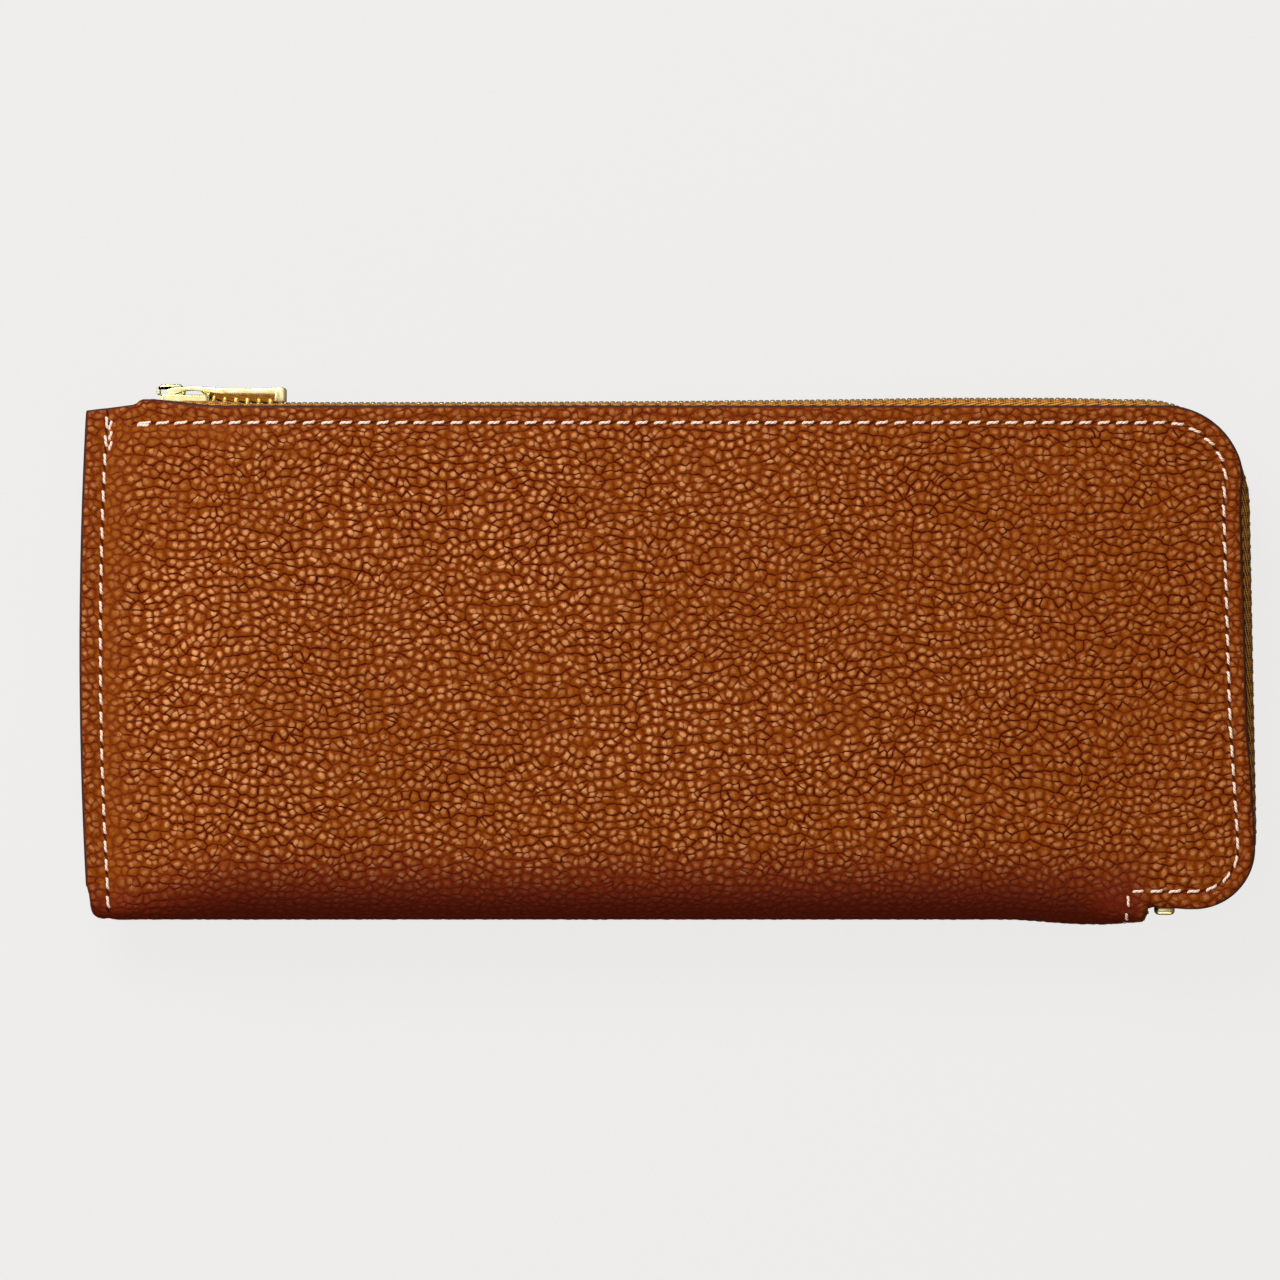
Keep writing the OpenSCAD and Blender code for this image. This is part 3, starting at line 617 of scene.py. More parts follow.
class Sheet:
    """Points of one panel's outer surface: the field left of the fold's end, and the patch right of it."""

    def __init__(self, crown):
        self.crown = crown
        self.build_field()
        self.build_patch()
        self.number_points()

    def build_field(self):
        width = FOLD_END - LEFT
        a = steps_to(width, CELL, EDGE_STEPS) / width
        tall = TOP - bottom_y(0) - MID
        down = steps_to(tall, CELL, EDGE_STEPS)
        share = down / tall
        q = np.linspace(0, 1, FOLD_ROWS + 1)[1:]
        rows, columns = len(share) + len(q), len(a)
        self.field = np.zeros((rows, columns, 3))
        start = np.interp(np.arange(rows), [0, len(share) - 1, rows - 1], [TOP, -38, bottom_y(LEFT + 2)])
        x = left_edge(start)[:, None] * (1 - a)[None, :] + FOLD_END * a[None, :]
        drop, lift = fold_section(x[len(share):], q[:, None])
        half, low, high = half_depth(x), bottom_y(x), top_y(x)
        turn = low + half
        y = np.empty_like(x)
        z = np.empty_like(x)
        flat = slice(0, len(share))
        y[flat] = high[flat] + (turn[flat] - high[flat]) * share[:, None]
        z[flat] = half[flat]
        y[len(share):] = turn[len(share):] - half[len(share):] * drop
        z[len(share):] = half[len(share):] * lift
        if self.crown:
            z[flat] += dome(x[flat], y[flat])
        self.field[..., 0], self.field[..., 1], self.field[..., 2] = x, y, MID + z
        step = np.linalg.norm(np.diff(self.field[..., 1:], axis=0), axis=2)
        hide = np.zeros_like(x)
        hide[flat] = y[flat]
        for j in range(len(share), rows):
            hide[j] = hide[j - 1] - step[j - 1]
        self.hide = hide
        self.turn_row = len(share)
        self.notch_row = int(np.argmax(y[:, -1] <= LOW_EDGE + 0.05))

    def build_patch(self):
        edge = self.field[:self.notch_row + 1, -1]
        corner_s = (OUTLINE.marks[0] + OUTLINE.marks[1]) / 2
        low_s = (OUTLINE.marks[2] + OUTLINE.marks[3]) / 2
        start_s = FOLD_END - LEFT
        top_len = corner_s - start_s
        u = steps_to(top_len, CELL, (0,), EDGE_STEPS) / top_len
        real_v = (edge[0, 1] - edge[:, 1]) / (edge[0, 1] - edge[-1, 1])
        top = np.array([outline_point(start_s + t * top_len) for t in u])
        low_len = OUTLINE.length - low_s
        low = np.array([outline_point(OUTLINE.length - t * low_len) for t in u])
        low[:, 1] += (edge[-1, 1] - LOW_EDGE) * (1 - u)
        side = np.array([outline_point(corner_s + t * (low_s - corner_s)) for t in real_v])
        left = edge[:, :2]
        v = real_v[:, None, None]
        h = u[None, :, None]
        flat = (left[:, None] * (1 - h) + side[:, None] * h + top[None] * (1 - v) + low[None] * v
                - top[0] * (1 - h) * (1 - v) - top[-1] * h * (1 - v) - low[0] * (1 - h) * v - low[-1] * h * v)
        flat[:, 0] = left
        x, y = flat[..., 0], flat[..., 1]
        z = 2 * MID - end_drop(x, y)
        if self.crown:
            z = z + dome(x, y)
        self.patch = np.stack([x, y, z], 2)

    def number_points(self):
        rows, columns = self.field.shape[:2]
        patch_rows, patch_columns = self.patch.shape[:2]
        self.field_index = np.arange(rows * columns).reshape(rows, columns)
        extra = rows * columns + np.arange(patch_rows * (patch_columns - 1)).reshape(patch_rows, -1)
        self.patch_index = np.concatenate([self.field_index[:patch_rows, -1:], extra], 1)
        self.points = np.concatenate([self.field.reshape(-1, 3), self.patch[:, 1:].reshape(-1, 3)])
        self.flat = np.zeros_like(self.points)
        self.flat[:, 0] = self.points[:, 0]
        self.flat[:, 1] = np.concatenate([self.hide.ravel(), self.patch[:, 1:, 1].ravel()])
        self.faces = grid_faces(self.field_index) + grid_faces(self.patch_index)
        self.normals = point_normals(self.points, self.faces)
        line = self.field_index[-1]
        self.normals[line, 2] = 0
        self.normals[line] /= np.linalg.norm(self.normals[line], axis=1, keepdims=True)

    def rim(self):
        """Point numbers round the sheet's border, as (numbers, True where it is a cut edge)."""
        left = self.field_index[:, 0]
        fold = self.field_index[-1, 1:]
        slit = self.field_index[self.notch_row:-1, -1][::-1]
        low = self.patch_index[-1, 1:]
        side = self.patch_index[:-1, -1][::-1]
        top = np.concatenate([self.field_index[0], self.patch_index[0, 1:-1]])[::-1][:-1]
        loop = np.concatenate([left, fold, slit, low, side, top])
        cut = np.ones(len(loop), bool)
        cut[len(left):len(left) + len(fold) - 1] = False
        return loop, cut


STITCHES = EdgeLine(LIP_FROM - 0.2, TOP_C, TOP_R - STITCH_IN, LOW_C, LOW_R - STITCH_IN, FOLD_END - 3.2)


def stitch_line():
    """The front edge's stitch line, as distances along it, places and directions."""
    s = np.arange(0, STITCHES.length, 0.2)
    places = []
    for value in s:
        x, y, angle = STITCHES.along(value)
        places.append((x - side_pull(y) * max(0.0, math.cos(angle)), y, math.sin(angle), -math.cos(angle)))
    return s, np.array(places)


def seam_places(x, y, on_front):
    """For each point, how far along the nearest stitch line it is, and how far aside."""
    along = np.zeros(len(x))
    aside = np.full(len(x), 9.0)
    from_left = x - left_edge(y) - LEFT_STITCH_IN
    left = np.abs(from_left) < 1.6
    aside[left] = from_left[left]
    along[left] = (TOP - 2.7 - STITCH_L / 2 - PITCH / 2 + 1.15 - y)[left]
    s, line = stitch_line()
    near = np.flatnonzero(on_front & (np.abs(edge_distance(x, y) - STITCH_IN) < 1.6)
                          & ((y > LOW_EDGE + 1) | (x > FOLD_END - 4)) & (x > LIP_FROM - 1))
    for part in np.array_split(near, max(1, len(near) // 2000)):
        dx = x[part, None] - line[None, :, 0]
        dy = y[part, None] - line[None, :, 1]
        best = np.argmin(dx ** 2 + dy ** 2, axis=1)
        rows = np.arange(len(part))
        run = line[best]
        dx, dy = dx[rows, best], dy[rows, best]
        side = run[:, 2] * dy - run[:, 3] * dx
        keep = np.abs(side) < np.abs(aside[part])
        along[part[keep]] = (s[best] + dx * run[:, 2] + dy * run[:, 3])[keep]
        aside[part[keep]] = side[keep]
    return along, aside


def leather_fields(sheet):
    """Relief, shade, sinking and seam places of each point of a sheet."""
    x, y = sheet.points[:, :2].T
    hide = sheet.flat[:, 1]
    half = half_depth(x)
    turn = bottom_y(x) + half
    on_fold = (hide < turn) & (x < FOLD_END + 0.01)
    edge = edge_distance(x, np.maximum(y, hide))
    from_left = x - left_edge(y)
    share = np.where(on_fold, np.clip((turn - y) / half, 0, 1), 0)
    edge = np.where(x < LEFT + 30, edge + top_y(x) - TOP, edge)
    free = np.minimum(np.where(on_fold, 1e3, edge), from_left)
    along, aside = seam_places(x, np.where(on_fold, hide, y), hide > turn - 12)
    seam = np.abs(aside)
    border = 1 - ease((np.minimum(edge, from_left) - 2.0) / 1.2)
    left_band = 1 - ease((from_left - 4.0) / 6.0)
    corner_band = (1 - ease((edge - 4.2) / 3.5)) * (1 - ease((x - LEFT - 24) / 12))
    line_band = np.exp(-(seam / 1.0) ** 2)
    relief = (1 - 0.35 * border) * (1 - 0.88 * np.maximum(left_band, corner_band) * (1 - border))
    relief *= (1 - 0.5 * line_band) * (1 - 0.6 * ease(share * 1.3))
    relief = np.clip(relief, 0.06, 1)
    groove = 0.16 * np.exp(-(seam / 0.5) ** 2) + 0.16 * np.exp(-(seam / 1.5) ** 2)
    rounding = 0.34 * (1 - ease(free / 0.95))
    # Painted shade: rises over the fold's turn and fades past the fold's end, also along the cut edges and
    # faintly in the stitched border.
    shade = 0.92 * ease((turn + 6 - np.where(share > 0, y, hide)) / (half * 0.8 + 6))
    shade = np.where(hide < turn + 6, shade, 0) * (1 - ease((x - FOLD_END + 4) / 7))
    shade = np.maximum(shade, 0.9 * (1 - ease(free / 0.5)))
    shade = np.maximum(shade, 0.12 * border)
    return relief, shade, groove + rounding, np.stack([along, aside, free], 1)


def thickness_at(x):
    """The leather's thickness, doubled by its turned edge at the left seam."""
    return LEATHER_T + 0.95 * (1 - ease((x - SEAM_X - 1) / 6))


def build_leather(name, side, materials):
    """One panel of the outer leather with its half of the fold. side is 1 at the front and -1 at the back."""
    sheet = Sheet(crown=side > 0)
    relief, shade, sunk, seam = leather_fields(sheet)
    flat = sheet.flat if side > 0 else mirrored_hide(sheet)
    height = grain_heights(flat)
    sink = RELIEF * relief * (1 - height) + sunk
    outer = sheet.points - sheet.normals * sink[:, None]
    loop, cut = sheet.rim()
    out_way = rim_directions(sheet, loop) * cut[:, None]
    rings = []
    thick = thickness_at(sheet.points[loop, 0])
    for depth, push in ((0.3, 0.10), (0.62, 0.13), (0.9, 0.05)):
        down = sink[loop] * (1 - depth) + thick * depth
        rings.append(sheet.points[loop] - sheet.normals[loop] * down[:, None] + out_way * push)
    rows = sorted(set(range(0, sheet.field.shape[0], 4)) | {sheet.notch_row, sheet.field.shape[0] - 1})
    columns = sorted(set(range(0, sheet.field.shape[1], 4)) | {sheet.field.shape[1] - 1})
    patch_columns = sorted(set(range(0, sheet.patch.shape[1], 4)) | {sheet.patch.shape[1] - 1})
    patch_rows = [r for r in rows if r <= sheet.notch_row]
    field_inner = sheet.field_index[np.ix_(rows, columns)]
    patch_inner = sheet.patch_index[np.ix_(patch_rows, patch_columns)]
    used = np.unique(np.concatenate([field_inner.ravel(), patch_inner.ravel()]))
    inner = sheet.points[used] - sheet.normals[used] * thickness_at(sheet.points[used, 0])[:, None]
    count = len(outer)
    ring_start = [count + k * len(loop) for k in range(3)]
    inner_start = count + 3 * len(loop)
    to_inner = np.full(count, -1)
    to_inner[used] = inner_start + np.arange(len(used))
    points = np.concatenate([outer, *rings, inner])
    faces = list(sheet.faces)
    # Faces within 0.32 mm of a cut edge take the dark edge colour: partly the edge dye lapping over, partly
    # painted shade along the edge.
    slots = (seam[:, 2][np.array(faces)].max(1) < 0.32).astype(int).tolist()
    chain = [np.array(loop)] + [s + np.arange(len(loop)) for s in ring_start]
    for upper, lower in zip(chain[:-1], chain[1:]):
        for i in range(len(loop)):
            j = (i + 1) % len(loop)
            faces.append([int(upper[j]), int(upper[i]), int(lower[i]), int(lower[j])])
            slots.append(1)
    coarse = [i for i in range(len(loop)) if to_inner[loop[i]] >= 0]
    last = chain[-1]
    for a, b in zip(coarse, coarse[1:] + [coarse[0] + len(loop)]):
        run = [int(last[k % len(loop)]) for k in range(a, b + 1)]
        ends = [int(to_inner[loop[b % len(loop)]]), int(to_inner[loop[a]])]
        faces.append(run[::-1] + ends[::-1])
        slots.append(1)
    back_faces = grid_faces(to_inner[field_inner], True) + grid_faces(to_inner[patch_inner], True)
    faces += back_faces
    slots += [2] * len(back_faces)
    source = np.concatenate([np.arange(count), loop, loop, loop, used])
    if side < 0:
        points[:, 2] = 2 * MID - points[:, 2]
        faces = [f[::-1] for f in faces]
    return make(name, points, faces, materials, slots,
                grain=flat[source], shade=shade[source], relief=relief[source], seam=seam[source])


def mirrored_hide(sheet):
    """The back panel's places on the flat hide, which go on from the front's past the fold."""
    flat = sheet.flat.copy()
    line = sheet.hide[-1]
    columns = sheet.field[-1, :, 0]
    turn = np.interp(sheet.points[:, 0], columns, line)
    flat[:, 1] = 2 * turn - flat[:, 1]
    return flat


def rim_directions(sheet, loop):
    """Outward directions, square to the border and to the normals."""
    points = sheet.points[loop]
    run = np.roll(points, -1, 0) - np.roll(points, 1, 0)
    way = np.cross(run, sheet.normals[loop])
    return way / np.maximum(np.linalg.norm(way, axis=1, keepdims=True), 1e-9)


# ---------------------------------------------------------------- stitches


def hide_place(x, v, crown=True):
    """Point of the outer surface for a place on the flat hide."""
    turn = float(bottom_y(x) + half_depth(x))
    if x > FOLD_END:
        z = 2 * MID - float(end_drop(np.array(x), np.array(v)))
        return np.array([x, v, z + (float(dome(x, v)) if crown else 0)])
    half = float(half_depth(x))
    if v >= turn:
        return np.array([x, v, MID + half + (float(dome(x, v)) if crown else 0)])
    q = np.linspace(0, 1, 61)
    drop, lift = fold_section(np.full(61, x), q)
    y, z = turn - half * drop, half * lift
    run = np.concatenate([[0], np.cumsum(np.hypot(np.diff(y), np.diff(z)))])
    return np.array([x, np.interp(turn - v, run, y), MID + np.interp(turn - v, run, z)])


def hide_frame(x, v, crown=True):
    """Point, its two surface directions and its normal."""
    step = 0.15
    point = hide_place(x, v, crown)
    right = hide_place(x + step, v, crown) - hide_place(x - step, v, crown)
    up = hide_place(x, v + step, crown) - hide_place(x, v - step, crown)
    right, up = right / np.linalg.norm(right), up / np.linalg.norm(up)
    normal = np.cross(right, up)
    return point, right, up, normal / np.linalg.norm(normal)


def front_stitch_places():
    """Places on the flat hide of the stitches along the zipped edges, as (x, v, direction, length, slant)."""
    places = []
    s = 1.6
    while s < STITCHES.length:
        x, y, angle = STITCHES.along(s)
        x -= side_pull(y) * max(0.0, math.cos(angle))
        long = STITCH_L + 0.55 * (1 - float(ease((x - LEFT - 18) / 4))) if y > 30 else STITCH_L
        places.append((x, y, angle - RIGHT_ANGLE, long, SLANT))
        s += PITCH
    x = FOLD_END - 3.4
    for k in range(3):
        places.append((x - 0.25 * k, LOW_EDGE + STITCH_IN - 1.7 - PITCH * k, -RIGHT_ANGLE, STITCH_L, SLANT))
    places.append((LIP_FROM + 1.2, TOP - STITCH_IN - 0.35, 0.12, 2.6, 0))
    return places


def left_stitch_places():
    """Places of the left seam's stitches, with three worked over its top end."""
    places = []
    y = TOP - 2.7
    while y > BOTTOM + 1.2:
        x = float(left_edge(np.array(y))) + LEFT_STITCH_IN
        places.append((x, y, -RIGHT_ANGLE, STITCH_L, SLANT))
        y -= PITCH
    x = float(left_edge(TOP)) + LEFT_STITCH_IN + 0.45
    for k in range(3):
        places.append((x, TOP - 3.2 - 1.7 * k, -RIGHT_ANGLE - 0.1, 2.0, 0))
    return places


def stitch_mesh(places, crown, rng):
    """Slanted stitches, each a short rope that rises out of one hole and dives into the next."""
    rings, sides, radius = 11, 8, 0.235
    points, faces, twist = [], [], []
    for x, v, direction, long, slant in places:
        origin, right, up, normal = hide_frame(x, v, crown)
        angle = direction + slant + rng.normal(0, 0.03)
        run = right * math.cos(angle) + up * math.sin(angle)
        cross = np.cross(normal, run)
        start = len(points)
        for i in range(rings):
            t = i / (rings - 1) * 2 - 1
            bow = 1 - t ** 4
            sink = -0.62 + 0.5 * bow
            sway = cross * -0.13 * math.sin(t * math.pi)
            centre = origin + run * (t * long / 2) + sway + normal * sink
            fat = radius * (0.55 + 0.45 * (1 - t ** 6))
            for k in range(sides):
                turn = 2 * math.pi * k / sides
                ring = cross * fat * math.cos(turn) * 1.05 + normal * fat * math.sin(turn) * 0.9
                points.append(centre + ring)
                twist.append((t * long / 2, k / sides if k <= sides / 2 else 1 - k / sides, 0))
        for i in range(rings - 1):
            for k in range(sides):
                m = (k + 1) % sides
                a, b = start + i * sides, start + (i + 1) * sides
                faces.append([a + k, b + k, b + m, a + m])
        faces.append([start + k for k in range(sides)])
        faces.append([start + (rings - 1) * sides + k for k in reversed(range(sides))])
    return np.array(points), faces, np.array(twist)


def build_stitches(name, places, side, material, rng):
    points, faces, twist = stitch_mesh(places, side > 0, rng)
    if side < 0:
        points[:, 2] = np.maximum(2 * MID - points[:, 2], 0.02)
    else:
        faces = [f[::-1] for f in faces]
    return make(name, points, faces, [material], twist=twist)


# ---------------------------------------------------------------- the zip


def room_beside_chain(x):
    return half_depth(x) - LEATHER_T


def squeeze(z, x):
    """Height beside the chain, drawn in where the body narrows at the left."""
    full = MID - LEATHER_T
    return CHAIN_HALF + (z - CHAIN_HALF) * (room_beside_chain(x) - CHAIN_HALF) / (full - CHAIN_HALF)


# How far the chain's line rises or sags along its top stretch, by x
LIFT_X = [-76, -70, -30, 0, 30, 45, 66, 77]
LIFT = [0, -0.5, -0.45, -0.3, 0, 0.25, 0.25, 0]


def chain_lift(s):
    """The chain isn't quite straight: it sags beside the slider and rises towards the corner."""
    return float(np.interp(ZIP_START + s, LIFT_X, LIFT)) - 1.35 * float(ease((s - CHAIN.marks[3] + 6) / 6))


def tape_bulge(s):
    """How much of its bulge the tape shows: less along the top than down the side."""
    return 0.85 + 0.15 * float(ease((s - CHAIN.marks[0]) / 30))


# Middle line of one half of the tape, from the chain to under the leather: (outward, height from the middle)
TAPE_PATH = [(0.0, 1.5), (0.0, 2.2), (0.1, 3.0), (0.30, 4.0), (0.38, 5.0), (0.25, 6.0), (-0.15, 6.9),
             (-0.8, 7.6), (-1.6, 8.1), (-2.6, 8.38), (-4.2, 8.45), (-6.0, 8.45)]
TAPE_T = 0.5


def tape_profile():
    """Closed section of one half of the tape, as (outward, height, distance across the weave)."""
    path = np.array(TAPE_PATH)
    run = np.concatenate([[0], np.cumsum(np.linalg.norm(np.diff(path, axis=0), axis=1))])
    fine = np.linspace(0, run[-1], 34)
    n, z = np.interp(fine, run, path[:, 0]), np.interp(fine, run, path[:, 1])
    tangent = np.stack([np.gradient(n), np.gradient(z)], 1)
    tangent /= np.linalg.norm(tangent, axis=1, keepdims=True)
    normal = np.stack([tangent[:, 1], -tangent[:, 0]], 1)
    outer = np.stack([n, z], 1) + normal * TAPE_T / 2
    inner = np.stack([n, z], 1) - normal * TAPE_T / 2
    ring = np.concatenate([outer, inner[::-1]])
    weave = np.concatenate([fine, fine[::-1]])
    return ring, weave


def build_tape(name, side, material):
    """One half of the zip tape, bulging beside the chain and tucked under the leather."""
    ring, weave = tape_profile()
    s_values = steps_to(CHAIN.length, 0.8)
    points, coordinates = [], []
    for s in s_values:
        x, y, angle = CHAIN.along(s)
        wave = 0.05 * math.sin(s * 1.7) + chain_lift(s)
        bulge = tape_bulge(s)
        for (n, z), w in zip(ring, weave):
            rib = 0.035 * math.sin(w * 9.0)
            reach = (n * bulge if n > 0 else n) + (wave if n > -1 else 0) + rib
            height = squeeze(z, x)
            points.append((x + reach * math.cos(angle), y + reach * math.sin(angle), MID + side * height))
            coordinates.append((s, w, 0))
    index = np.arange(len(points)).reshape(len(s_values), len(ring))
    index = np.concatenate([index, index[:, :1]], 1)
    faces = grid_faces(index, side < 0)
    first, last = index[0, :-1].tolist(), index[-1, :-1].tolist()
    faces += [first[::-1], last] if side > 0 else [first, last[::-1]]
    faces = [f[::-1] for f in faces]
    return make(name, points, faces, [material], weave=coordinates)


# Sections of a tooth from head to root: (height from the middle, half length along the chain, half depth)
TOOTH_SECTIONS = [
    (-0.62, 0.16, 0.5), (-0.55, 0.30, 0.66), (-0.30, 0.40, 0.78), (0.25, 0.42, 0.84), (0.75, 0.42, 0.88),
    (0.95, 0.46, 0.9), (1.25, 0.48, 0.9), (1.8, 0.47, 0.86), (2.1, 0.40, 0.76), (2.25, 0.26, 0.55),
]


def build_teeth(name, side, material):
    """One row of moulded metal teeth, clamped on the tape's cord."""
    sides = 12
    start = node_box("zip_teeth_back" if side < 0 else "zip_teeth_front")[0][0] + 0.55 - ZIP_START
    end = CHAIN.length - 3.4 - TOOTH_PITCH
    points, faces = [], []
    s = start
    while s < end:
        x, y, angle = CHAIN.along(s)
        out = np.array([math.cos(angle), math.sin(angle), 0])
        run = np.array([math.sin(angle), -math.cos(angle), 0])
        base = np.array([x, y, MID]) + out * chain_lift(s)
        first = len(points)
        for z, half_l, half_n in TOOTH_SECTIONS:
            for k in range(sides):
                turn = 2 * math.pi * (k + 0.5) / sides
                c, d = math.cos(turn), math.sin(turn)
                c = math.copysign(abs(c) ** 0.5, c)
                d = math.copysign(abs(d) ** 0.5, d)
                points.append(base + run * half_l * c + out * half_n * d + np.array([0, 0, side * z]))
        for i in range(len(TOOTH_SECTIONS) - 1):
            for k in range(sides):
                m = (k + 1) % sides
                a, b = first + i * sides, first + (i + 1) * sides
                faces.append([a + k, a + m, b + m, b + k] if side < 0 else [a + k, b + k, b + m, a + m])
        head = [first + k for k in range(sides)]
        root = [first + (len(TOOTH_SECTIONS) - 1) * sides + k for k in range(sides)]
        faces += [head[::-1], root] if side < 0 else [head, root[::-1]]
        s += TOOTH_PITCH
    return make(name, points, faces, [material])


def rounded_copy(name, node, material, width):
    """A copy of a CAD node with its edges rounded, for small metal and moulded parts."""
    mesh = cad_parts[node].data.copy()
    mesh.name = name
    mesh.materials.clear()
    mesh.materials.append(material)
    piece = bpy.data.objects.new(name, mesh)
    bpy.context.collection.objects.link(piece)
    work = bmesh.new()
    work.from_mesh(mesh)
    bmesh.ops.remove_doubles(work, verts=work.verts, dist=1e-6)
    bmesh.ops.dissolve_limit(work, angle_limit=math.radians(2), verts=work.verts, edges=work.edges)
    sharp = [e for e in work.edges if len(e.link_faces) == 2 and e.calc_face_angle(0) > math.radians(28)]
    bmesh.ops.bevel(work, geom=sharp, offset=width * MM, segments=3, profile=0.5, affect="EDGES",
                    clamp_overlap=True)
    for face in work.faces:
        face.smooth = True
    work.to_mesh(mesh)
    work.free()
    mesh.polygons.foreach_set("material_index", np.zeros(len(mesh.polygons), np.int32))
    return piece


def loft(name, sections, material):
    """A closed tube through rings of points, each ring with the same count."""
    count = len(sections[0])
    points = np.concatenate([np.asarray(s, float) for s in sections])
    index = np.arange(len(points)).reshape(len(sections), count)
    faces = grid_faces(np.concatenate([index, index[:, :1]], 1))
    faces += [index[0].tolist()[::-1], index[-1].tolist()]
    return make(name, points, [f[::-1] for f in faces], [material])


def rounded_rectangle(half_a, half_b, radius):
    """Outline with five points round each corner."""
    points = []
    for k, (sa, sb) in enumerate(((1, 1), (-1, 1), (-1, -1), (1, -1))):
        for i in range(5):
            turn = (k + i / 4) * RIGHT_ANGLE
            points.append((sa * (half_a - radius) + radius * math.cos(turn),
                           sb * (half_b - radius) + radius * math.sin(turn)))
    return points


# The pull's bar: how far from its end, its top below the pull's highest point, and its face's height
BAR = [(16.6, 0.50, 0.55), (15.2, 0.55, 0.70), (12.7, 0.72, 0.95), (9.7, 0.92, 1.15), (5.7, 0.95, 1.20),
       (3.2, 0.85, 1.42), (1.85, 0.78, 1.58)]


def build_pull(material):
    """The slim bar pull: a dished bar undercut below, a square end block, two arms and a pin."""
    x_end = PULL_HIGH[0]
    pin_x, pin_y = PULL_LOW[0] + 0.5, SLIDER_HIGH[1] + 0.55
    half_w = (PULL_HIGH[2] - PULL_LOW[2]) / 2
    sections = []
    from_end, drops, faces_h = (np.array(column)[::-1] for column in zip(*BAR))
    for x in np.linspace(x_end - BAR[0][0], x_end - 1.85, 22):
        top = PULL_HIGH[1] - np.interp(x_end - x, from_end, drops)
        low = top - np.interp(x_end - x, from_end, faces_h)
        keel = low - 1.15 * float(ease((x - x_end + 14.4) / 1.5))
        half = [(top, 0), (top, half_w - 0.3), (top - 0.1, half_w - 0.08), (top - 0.3, half_w),
                (low + 0.12, half_w), (low, half_w - 0.1), (keel + 0.08, half_w - 0.7), (keel, half_w - 0.85),
                (keel, 0)]
        ring = half + [(y, -z) for y, z in half[-2:0:-1]]
        sections.append([(x, y, MID + z) for y, z in ring])
    bar = loft("pull_bar", sections, material)
    block = []
    for before, inset in ((1.9, 0.12), (1.8, 0.0), (0.55, 0.0), (0.2, 0.12), (0, 0.4)):
        x = x_end - before
        top, low = PULL_HIGH[1] - 0.75 - inset, PULL_LOW[1] - 0.65 + inset * 0.4
        block.append([(x, (top + low) / 2 + b, MID + a) for a, b in
                      rounded_rectangle(half_w + 0.02 - inset * 0.5, (top - low) / 2, 0.2)])
    end = loft("pull_end", block, material)
    pieces = [bar, end]
    for side in (-1, 1):
        ring = []
        for t in np.linspace(0, 1, 11):
            x = pin_x - 0.55 + 4.4 * t
            half = 0.30 + 0.26 * math.sin(math.pi * min(1, t * 1.5))
            y = pin_y + 0.1 + 0.42 * float(ease(np.array(t)))
            ring.append([(x, y + b, MID + side * (half_w - 0.42) + a)
                         for a, b in rounded_rectangle(0.4, half, 0.2)])
        pieces.append(loft(f"pull_arm_{side + 1}", ring, material))
    ring = []
    for z in np.linspace(-half_w + 0.1, half_w - 0.1, 7):
        turns = [k * math.pi / 8 for k in range(16)]
        ring.append([(pin_x + 0.48 * math.cos(k), pin_y + 0.48 * math.sin(k), MID + z) for k in turns])
    pieces.append(loft("pull_pin", ring, material))
    for piece in pieces:
        piece.data.set_sharp_from_angle(angle=math.radians(40))
    return pieces


def build_flange(material, side):
    """The slider's closed side wall, a rounded bar between its two plates."""
    x0, x1 = SLIDER_LOW[0] + 0.05, SLIDER_HIGH[0] - 0.1
    depth = SLIDER_HIGH[2] - MID
    sections = []
    for x, inset in ((x0, 0.42), (x0 + 0.12, 0.2), (x0 + 0.35, 0.05), (x0 + 0.7, 0), (x0 + 4, 0),
                     (x1 - 0.7, 0), (x1 - 0.35, 0.06), (x1 - 0.12, 0.22), (x1, 0.5)):
        t = (x - x0) / (x1 - x0)
        middle = SLIDER_HIGH[1] - 1.02 - 0.22 * t
        sections.append([(x, middle + b, MID + side * (depth - 0.5) + side * a) for a, b in
                         rounded_rectangle(0.62 - inset * 0.4, 1.1 - inset, 0.2)])
    piece = loft(f"slider_wall_{side + 1}", sections, material)
    if side < 0:
        piece.data.flip_normals()
    return piece


# ---------------------------------------------------------------- the inside


